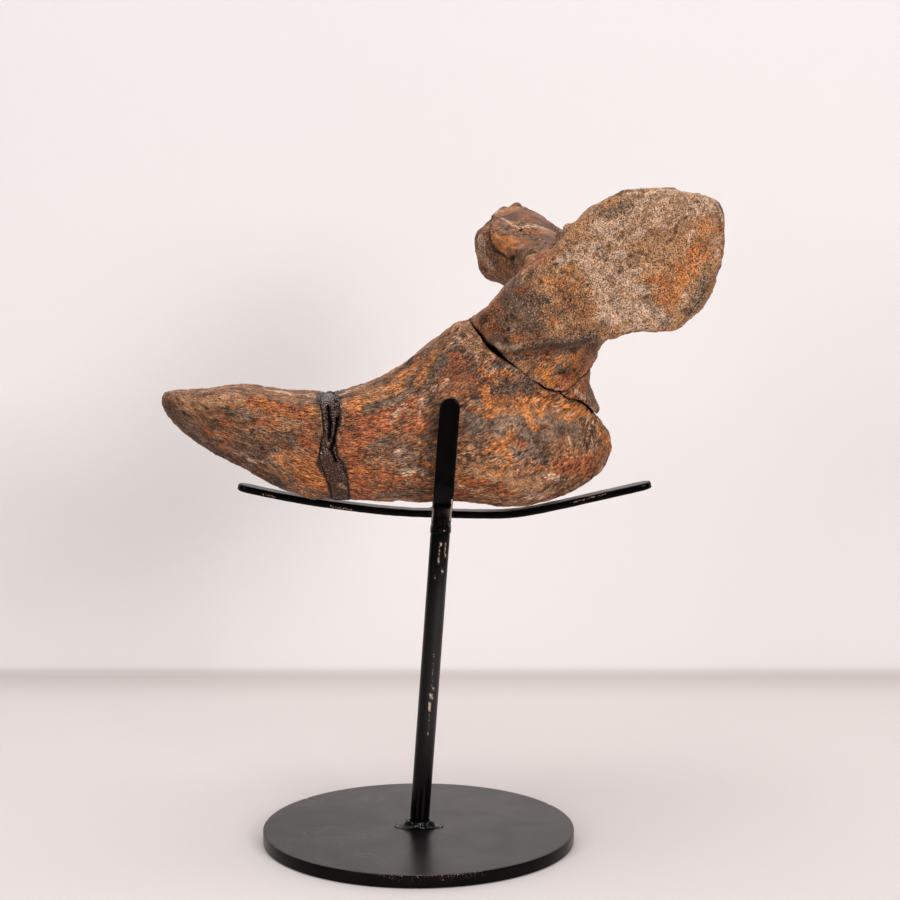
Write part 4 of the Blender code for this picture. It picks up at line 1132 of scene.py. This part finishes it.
def finishCoated(piece, nodeName, worn=(), carve=0.0, scuff=0.0, satin=0.0, satinTop=0.3):
    # worn is strokes in the picture, scuff and satin are amounts or one value for each point
    points = readPoints(piece)
    upward = ease01(readNormals(piece)[:, 2], *coatLook["upward"])
    tree = skinTree(piece.data, points.tolist())
    mask = np.maximum(paintStrokes(points, tree, worn), scuff)
    if carve:
        writePoints(piece, points - readNormals(piece) * (mask * carve)[:, None])
    saveMask(piece, "worn", mask)
    saveMask(piece, "satin", np.maximum(satin, satinTop * upward))
    piece.data.materials.clear()
    piece.data.materials.append(satinBlack)
    shadeSmooth(piece)
    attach(piece, "root")
    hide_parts(nodeName)
    print("stand piece", piece.name, len(piece.data.polygons), "faces")


def addRound(name, sides, radius, bottom, top):
    # a plain upright cylinder to start from
    bpy.ops.object.select_all(action="DESELECT")
    bpy.ops.mesh.primitive_cylinder_add(vertices=sides, radius=radius, depth=top - bottom,
                                        location=(0, 0, (top + bottom) / 2))
    piece = bpy.context.active_object
    piece.name = piece.data.name = name
    bpy.ops.object.transform_apply(location=True, rotation=True, scale=True)
    return piece


def breakEdges(piece, width, segments, angle):
    edge = piece.modifiers.new("brokenEdge", "BEVEL")
    edge.width = width
    edge.segments = segments
    edge.limit_method = "ANGLE"
    edge.angle_limit = math.radians(angle)
    applyModifiers(piece)


def editOnly(piece, mode, wanted):
    # edit mode, with only the wanted faces or edges selected
    bpy.ops.object.mode_set(mode="EDIT")
    bpy.ops.mesh.select_mode(type=mode)
    bpy.ops.mesh.select_all(action="DESELECT")
    bpy.ops.object.mode_set(mode="OBJECT")
    for part in piece.data.polygons if mode == "FACE" else piece.data.edges:
        part.select = wanted(part)
    bpy.ops.object.mode_set(mode="EDIT")


# the round base plate, with softly broken edges and a few knocks on its rim
discLook = dict(
    radius=63.5 * mm, thickness=5.2 * mm, sides=288, bevel=0.45 * mm, bevelSteps=3,
    bevelAngle=30, flat=0.99, rings=(0.8 * mm, 1.6 * mm, 9 * mm, 22 * mm, 20 * mm),
    rim=(1.5 * mm, 0.4 * mm), knockFrom=(2.5 * mm, 5.0 * mm), scuffFrom=(4.5 * mm, 5.0 * mm),
    # knocks and the scuffed stretch, whose pale specks along the front edge are partly painted
    # highlight: place round the rim and width in degrees, depth or share
    knocks=((-84, 1.6, 0.16), (-112, 1.2, 0.12), (30, 1.5, 0.25), (140, 1.3, 0.25),
            (205, 1.4, 0.2)),
    knockCore=0.2, scuff=0.06, frontScuffAndHighlight=(-84, 24, 0.23), scuffCore=0.6,
    satin=(0.52, 0.16), satinSide=(-50 * mm, 10 * mm),
    worn=((0.7, 0.25, 410,848, 416,851),),
)


def makeDisc(look):
    disc = addRound("standDisc", look["sides"], look["radius"], 0, look["thickness"])
    breakEdges(disc, look["bevel"], look["bevelSteps"], look["bevelAngle"])
    for side in (1, -1):
        editOnly(disc, "FACE", lambda face: face.normal.z * side > look["flat"])
        for ring in look["rings"]:
            bpy.ops.mesh.inset(thickness=ring, use_even_offset=False)
        bpy.ops.object.mode_set(mode="OBJECT")
    points = readPoints(disc)
    reach = np.hypot(points[:, 0], points[:, 1])
    angle = np.degrees(np.arctan2(points[:, 1], points[:, 0]))
    rim = ease01(reach, look["radius"] - look["rim"][0], look["radius"] - look["rim"][1])

    def roundRim(place, width, core):
        turn = np.abs((angle - place + 180) % 360 - 180)
        return 1 - ease01(turn, core * width, width)

    for place, width, depth in look["knocks"]:
        knock = roundRim(place, width, look["knockCore"]) * rim * depth * mm
        points[:, 2] -= knock * ease01(points[:, 2], *look["knockFrom"])
    writePoints(disc, points)
    # more worn specks along the front edge: wear, and partly painted highlight along that edge
    place, width, more = look["frontScuffAndHighlight"]
    edge = rim * ease01(points[:, 2], *look["scuffFrom"])
    scuff = edge * (look["scuff"] + more * roundRim(place, width, look["scuffCore"]))
    satinTop = look["satin"][0] + look["satin"][1] * ease01(points[:, 0], *look["satinSide"])
    finishCoated(disc, "base_disc", look["worn"], scuff=scuff, satinTop=satinTop)


makeDisc(discLook)


# the leaning rod, drawn in a little at its foot and under the strip
postLook = dict(
    radius=4.0 * mm, bottom=5.5 * mm, top=130.5 * mm, footX=0.2 * mm, topX=9.2 * mm,
    sides=72, cuts=220, longEdge=10 * mm,
    footTaper=(4.2 * mm, 0.75 * mm), topTaper=(4.0 * mm, 0.5 * mm),
    bevel=0.3 * mm, bevelSteps=2, bevelAngle=50, carve=0.05 * mm,
    waviness=0.03 * mm, waveSize=7, waveStretch=(1, 1, 0.35), seed=31,
    dullFrom=(20 * mm, 60 * mm), dullTo=(96 * mm, 122 * mm), dullSide=(-0.5, 0.35),
    satinLeast=0.05, satinAside=0.25,
    worn=(
        (0.75, 1, 440.9,544.4), (0.6, 0.85, 445.5,555.9), (0.55, 0.85, 438.4,559, 438.4,562),
        (0.45, 0.75, 438.4,566.6), (0.7, 1, 442.4,571.2), (0.55, 0.6, 435,577.9, 436,577.6),
        (0.6, 0.56, 446,541.7, 445.3,549, 444.8,555), (0.5, 0.5, 439.5,548, 439,556),
        (0.5, 0.8, 433.9,655.4), (0.45, 0.7, 432.5,662.8), (0.55, 0.85, 432.7,680.8),
        (0.5, 0.8, 431.9,685.4), (0.55, 0.8, 433.3,688.9), (1.1, 0.72, 430.6,694, 432,698.6),
        (0.7, 1, 429.8,704, 429.5,711), (0.4, 0.75, 432.7,704.7), (0.55, 0.8, 429.6,723.3),
        (0.55, 0.8, 427.9,734.2), (0.4, 0.5, 433.5,664, 432.6,676),
        (0.4, 0.45, 429.5,714, 428.6,730)),
)


def makePost(look):
    low, high = look["bottom"], look["top"]
    post = addRound("standPost", look["sides"], look["radius"], low, high)

    def upright(edge):
        ends = [post.data.vertices[index].co.z for index in edge.vertices]
        return abs(ends[0] - ends[1]) > look["longEdge"]

    editOnly(post, "EDGE", upright)
    bpy.ops.mesh.subdivide(number_cuts=look["cuts"])
    bpy.ops.object.mode_set(mode="OBJECT")
    points = readPoints(post)
    x, y, z = points.T
    foot = np.clip((z - low) / look["footTaper"][0], 0, 1)
    head = np.clip((high - z) / look["topTaper"][0], 0, 1)
    thin = 1 - (1 - foot) * look["footTaper"][1] / look["radius"]
    thin -= (1 - head) * look["topTaper"][1] / look["radius"]
    wave = cloud(points / mm * look["waveStretch"], look["waveSize"], 2, look["seed"])
    wave = wave * look["waviness"] / look["radius"]
    thin += (wave - np.abs(wave).max()) * foot * head
    lean = (z - low) / (high - low)
    points[:, 0] = x * thin + look["footX"] + lean * (look["topX"] - look["footX"])
    points[:, 1] = y * thin
    writePoints(post, points)
    breakEdges(post, look["bevel"], look["bevelSteps"], look["bevelAngle"])
    height = readPoints(post)[:, 2]
    middle = ease01(height, *look["dullFrom"]) * (1 - ease01(height, *look["dullTo"]))
    side = ease01(readNormals(post)[:, 0], *look["dullSide"])
    least, aside = look["satinLeast"], look["satinAside"]
    satin = least + (1 - least) * middle * (aside + (1 - aside) * side)
    finishCoated(post, "post", look["worn"], look["carve"], satin=satin)


makePost(postLook)

# the two strips and the welds, cast over the plain solids with rounded, painted edges
coatedLooks = (
    dict(node="cradle_cross_strip", piece="standCrossStrip", voxel=0.34 * mm, soften=9,
         waves=0.10, waveSize=7, seed=41, shrink=0.02, carve=0.06 * mm,
         worn=((0.62, 0.8, 433.2,494, 432.6,508, 431.6,520),
               (0.62, 0.8, 452,500, 451.6,508, 450.4,520))),
    dict(node="cradle_long_strip", piece="standLongStrip", voxel=0.36 * mm, soften=9,
         waves=0.10, waveSize=7, seed=43, shrink=-0.13, satinTop=0.75,
         worn=((0.5, 0.5, 330,506, 340,508, 352,510), (0.5, 0.42, 262,494, 276,497),
               (0.5, 0.42, 570,503, 590,498, 606,494))),
    dict(node="foot_weld", piece="weldFoot", voxel=0.26 * mm, soften=9,
         waves=0.45, waveSize=3.0, seed=47, shift=-0.8 * mm, satin=0.5, sink=0.2 * mm,
         slim=dict(x=0.2 * mm, hole=4.3 * mm, inner=4.15 * mm, front=0.26, side=0.95,
                   drop=0.95, power=3)),
    dict(node="top_weld", piece="weldTop", voxel=0.24 * mm, soften=7,
         # its one worn spot is a painted highlight: a pale glint on the weld
         waves=0.14, waveSize=2.2, seed=49, worn=((0.45, 0.9, 444.2,530.6),),
         slim=dict(x=9.15 * mm, hole=4.3 * mm, inner=4.06 * mm, front=0.50, side=0.22,
                   drop=0.0, power=1)),
    dict(node="cross_weld_front", piece="weldCrossFront", voxel=0.20 * mm, soften=5,
         waves=0.30, waveSize=1.8, seed=51, shrink=0.06),
    dict(node="cross_weld_rear", piece="weldCrossRear", voxel=0.20 * mm, soften=5,
         waves=0.30, waveSize=1.8, seed=53, shrink=0.06),
)
waveLevel = 0.25
weldFlank = (0.5 * mm, 4.0 * mm)  # how far outside the rod a weld's top falls away


def makeCoated(look):
    piece = copyNode(look["node"], look["piece"])
    evenSkin(piece, look["voxel"])
    soften(piece, look["soften"])
    points = readPoints(piece)
    points[:, 0] += look.get("shift", 0.0)
    if "slim" in look:
        # drawn in towards the rod, by its own share in front and at the two sides
        slim = look["slim"]
        hole = slim["hole"]
        away = points[:, :2] - np.array((slim["x"], 0.0))
        reach = np.linalg.norm(away, axis=1)
        sideways = np.abs(away[:, 0] / reach) ** slim["power"]
        share = slim["front"] + (slim["side"] - slim["front"]) * sideways
        slimmer = slim["inner"] + (reach - hole) * share
        points[:, :2] = np.array((slim["x"], 0.0)) + away * (slimmer / reach)[:, None]
        floor = points[:, 2].min()
        thin = slim["drop"] * ease01(slimmer, hole + weldFlank[0], hole + weldFlank[1])
        points[:, 2] = floor + (points[:, 2] - floor) * (1 - thin)
        writePoints(piece, points)
    waves = cloud(points / mm, look["waveSize"], 2, look["seed"]) - waveLevel
    rise = (look["waves"] * waves - look.get("shrink", 0.0)) * mm
    points = points + readNormals(piece) * rise[:, None]
    points[:, 2] -= look.get("sink", 0.0)
    writePoints(piece, points)
    finishCoated(piece, look["node"], look.get("worn", ()), look.get("carve", 0.0),
                 satin=look.get("satin", 0.0), satinTop=look.get("satinTop", 0.3))


for coatedSettings in coatedLooks:
    makeCoated(coatedSettings)


# pale table, plain backdrop and soft light

stageLook = dict(
    table=(0.700, 0.650, 0.638),
    wall=(0.900, 0.865, 0.864),
    # the colour and the amount of the painted shade where table and wall meet
    shade=(0.36, 0.31, 0.30),
    paintedShade=0.34,
    wallY=0.291,
    size=3.0,
    tableSize=(1.5, 0.86),
    tableY=-0.139,
    tableDrop=0.0002,
    wallDrop=0.0001,
    tableCorner=0.06,
    wallCorner=0.005,
    grain=0.985,
    noise=(2.5, 3, 0.5),
    rough=0.9,
    gloss=0.15,
)


def makeStageMaterial(name, colour, oneSided, corner):
    # corner is the axis, the place and the reach of the painted soft shade where table and wall
    # meet
    material, tree, shader = newMaterial(name)
    place = addNode(tree, "ShaderNodeTexCoord").outputs["Object"]
    shade = addNoise(tree, place, *stageLook["noise"])
    darker = tuple(channel * stageLook["grain"] for channel in colour)
    tone = addMix(tree, shade, colour, darker)
    along = addNode(tree, "ShaderNodeSeparateXYZ", {0: place}).outputs[corner[0]]
    paintedShade = addRange(tree, along, corner[1], corner[2], stageLook["paintedShade"], 0.0)
    tone = addMix(tree, paintedShade, tone, stageLook["shade"])
    tree.links.new(tone, shader.inputs["Base Color"])
    shader.inputs["Roughness"].default_value = stageLook["rough"]
    shader.inputs["Specular IOR Level"].default_value = stageLook["gloss"]
    if oneSided:
        clear = addNode(tree, "ShaderNodeBsdfTransparent")
        back = addNode(tree, "ShaderNodeNewGeometry").outputs["Backfacing"]
        pick = addNode(tree, "ShaderNodeMixShader", {0: back, 1: shader.outputs[0],
                                                     2: clear.outputs[0]})
        output = [node for node in tree.nodes if node.type == "OUTPUT_MATERIAL"][0]
        tree.links.new(pick.outputs[0], output.inputs["Surface"])
    return material


def makeStage(look):
    bpy.ops.object.select_all(action="DESELECT")
    bpy.ops.mesh.primitive_plane_add(size=1, location=(0, look["tableY"], -look["tableDrop"]))
    table = bpy.context.active_object
    table.name = "paleTable"
    table.scale = (*look["tableSize"], 1)
    bpy.ops.object.transform_apply(location=True, rotation=True, scale=True)
    table.data.materials.append(makeStageMaterial(
        "paleTable", look["table"], False,
        ("Y", look["wallY"], look["wallY"] - look["tableCorner"])))

    # a wall behind it, open when seen from behind
    bpy.ops.mesh.primitive_plane_add(size=look["size"] * 2,
                                     location=(0, look["wallY"],
                                               look["size"] - look["wallDrop"]),
                                     rotation=(math.radians(90), 0, 0))
    wall = bpy.context.active_object
    wall.name = "paleBackdrop"
    bpy.ops.object.transform_apply(location=True, rotation=True, scale=True)
    wall.data.materials.append(makeStageMaterial(
        "paleBackdrop", look["wall"], True, ("Z", 0.0, look["wallCorner"])))


makeStage(stageLook)

lamps = (
    dict(name="softboxRight", place=(0.675, -1.11, 0.52), aim=(0.0, 0.0, 0.17), size=0.42,
         watts=9.5, tint=(1.0, 0.972, 0.955)),
    dict(name="softboxLeft", place=(-0.78, -1.05, 0.52), aim=(0.0, 0.0, 0.15), size=0.50,
         watts=5.0, tint=(1.0, 0.98, 0.97)),
    dict(name="ceilingGlow", place=(0.0, -0.10, 1.45), aim=(0.0, 0.05, 0.0), size=1.2,
         watts=17.0, tint=(1.0, 0.985, 0.98)),
)
for lamp in lamps:
    lampData = bpy.data.lights.new(lamp["name"], "AREA")
    lampData.shape = "SQUARE"
    lampData.size = lamp["size"]
    lampData.energy = lamp["watts"]
    lampData.color = lamp["tint"]
    lampObject = bpy.data.objects.new(lamp["name"], lampData)
    lampObject.location = lamp["place"]
    aimLine = Vector(lamp["aim"]) - Vector(lamp["place"])
    lampObject.rotation_euler = aimLine.to_track_quat("-Z", "Y").to_euler()
    scene.collection.objects.link(lampObject)

# the surroundings give a little even light, and look pale wherever nothing stands
surround = dict(seen=(0.93, 0.88, 0.875), light=(0.95, 0.93, 0.93), strength=0.09)
world = bpy.data.worlds.new("paleStudio")
world.use_nodes = True
scene.world = world
worldTree = world.node_tree
worldTree.nodes.clear()
softLight = addNode(worldTree, "ShaderNodeBackground", {
    "Color": (*surround["light"], 1.0), "Strength": surround["strength"]})
paleSight = addNode(worldTree, "ShaderNodeBackground", {
    "Color": (*surround["seen"], 1.0), "Strength": 1.0})
cameraRay = addNode(worldTree, "ShaderNodeLightPath").outputs["Is Camera Ray"]
worldMix = addNode(worldTree, "ShaderNodeMixShader", {
    0: cameraRay, 1: softLight.outputs[0], 2: paleSight.outputs[0]})
addNode(worldTree, "ShaderNodeOutputWorld", {"Surface": worldMix.outputs[0]})
print("stage and light ready")
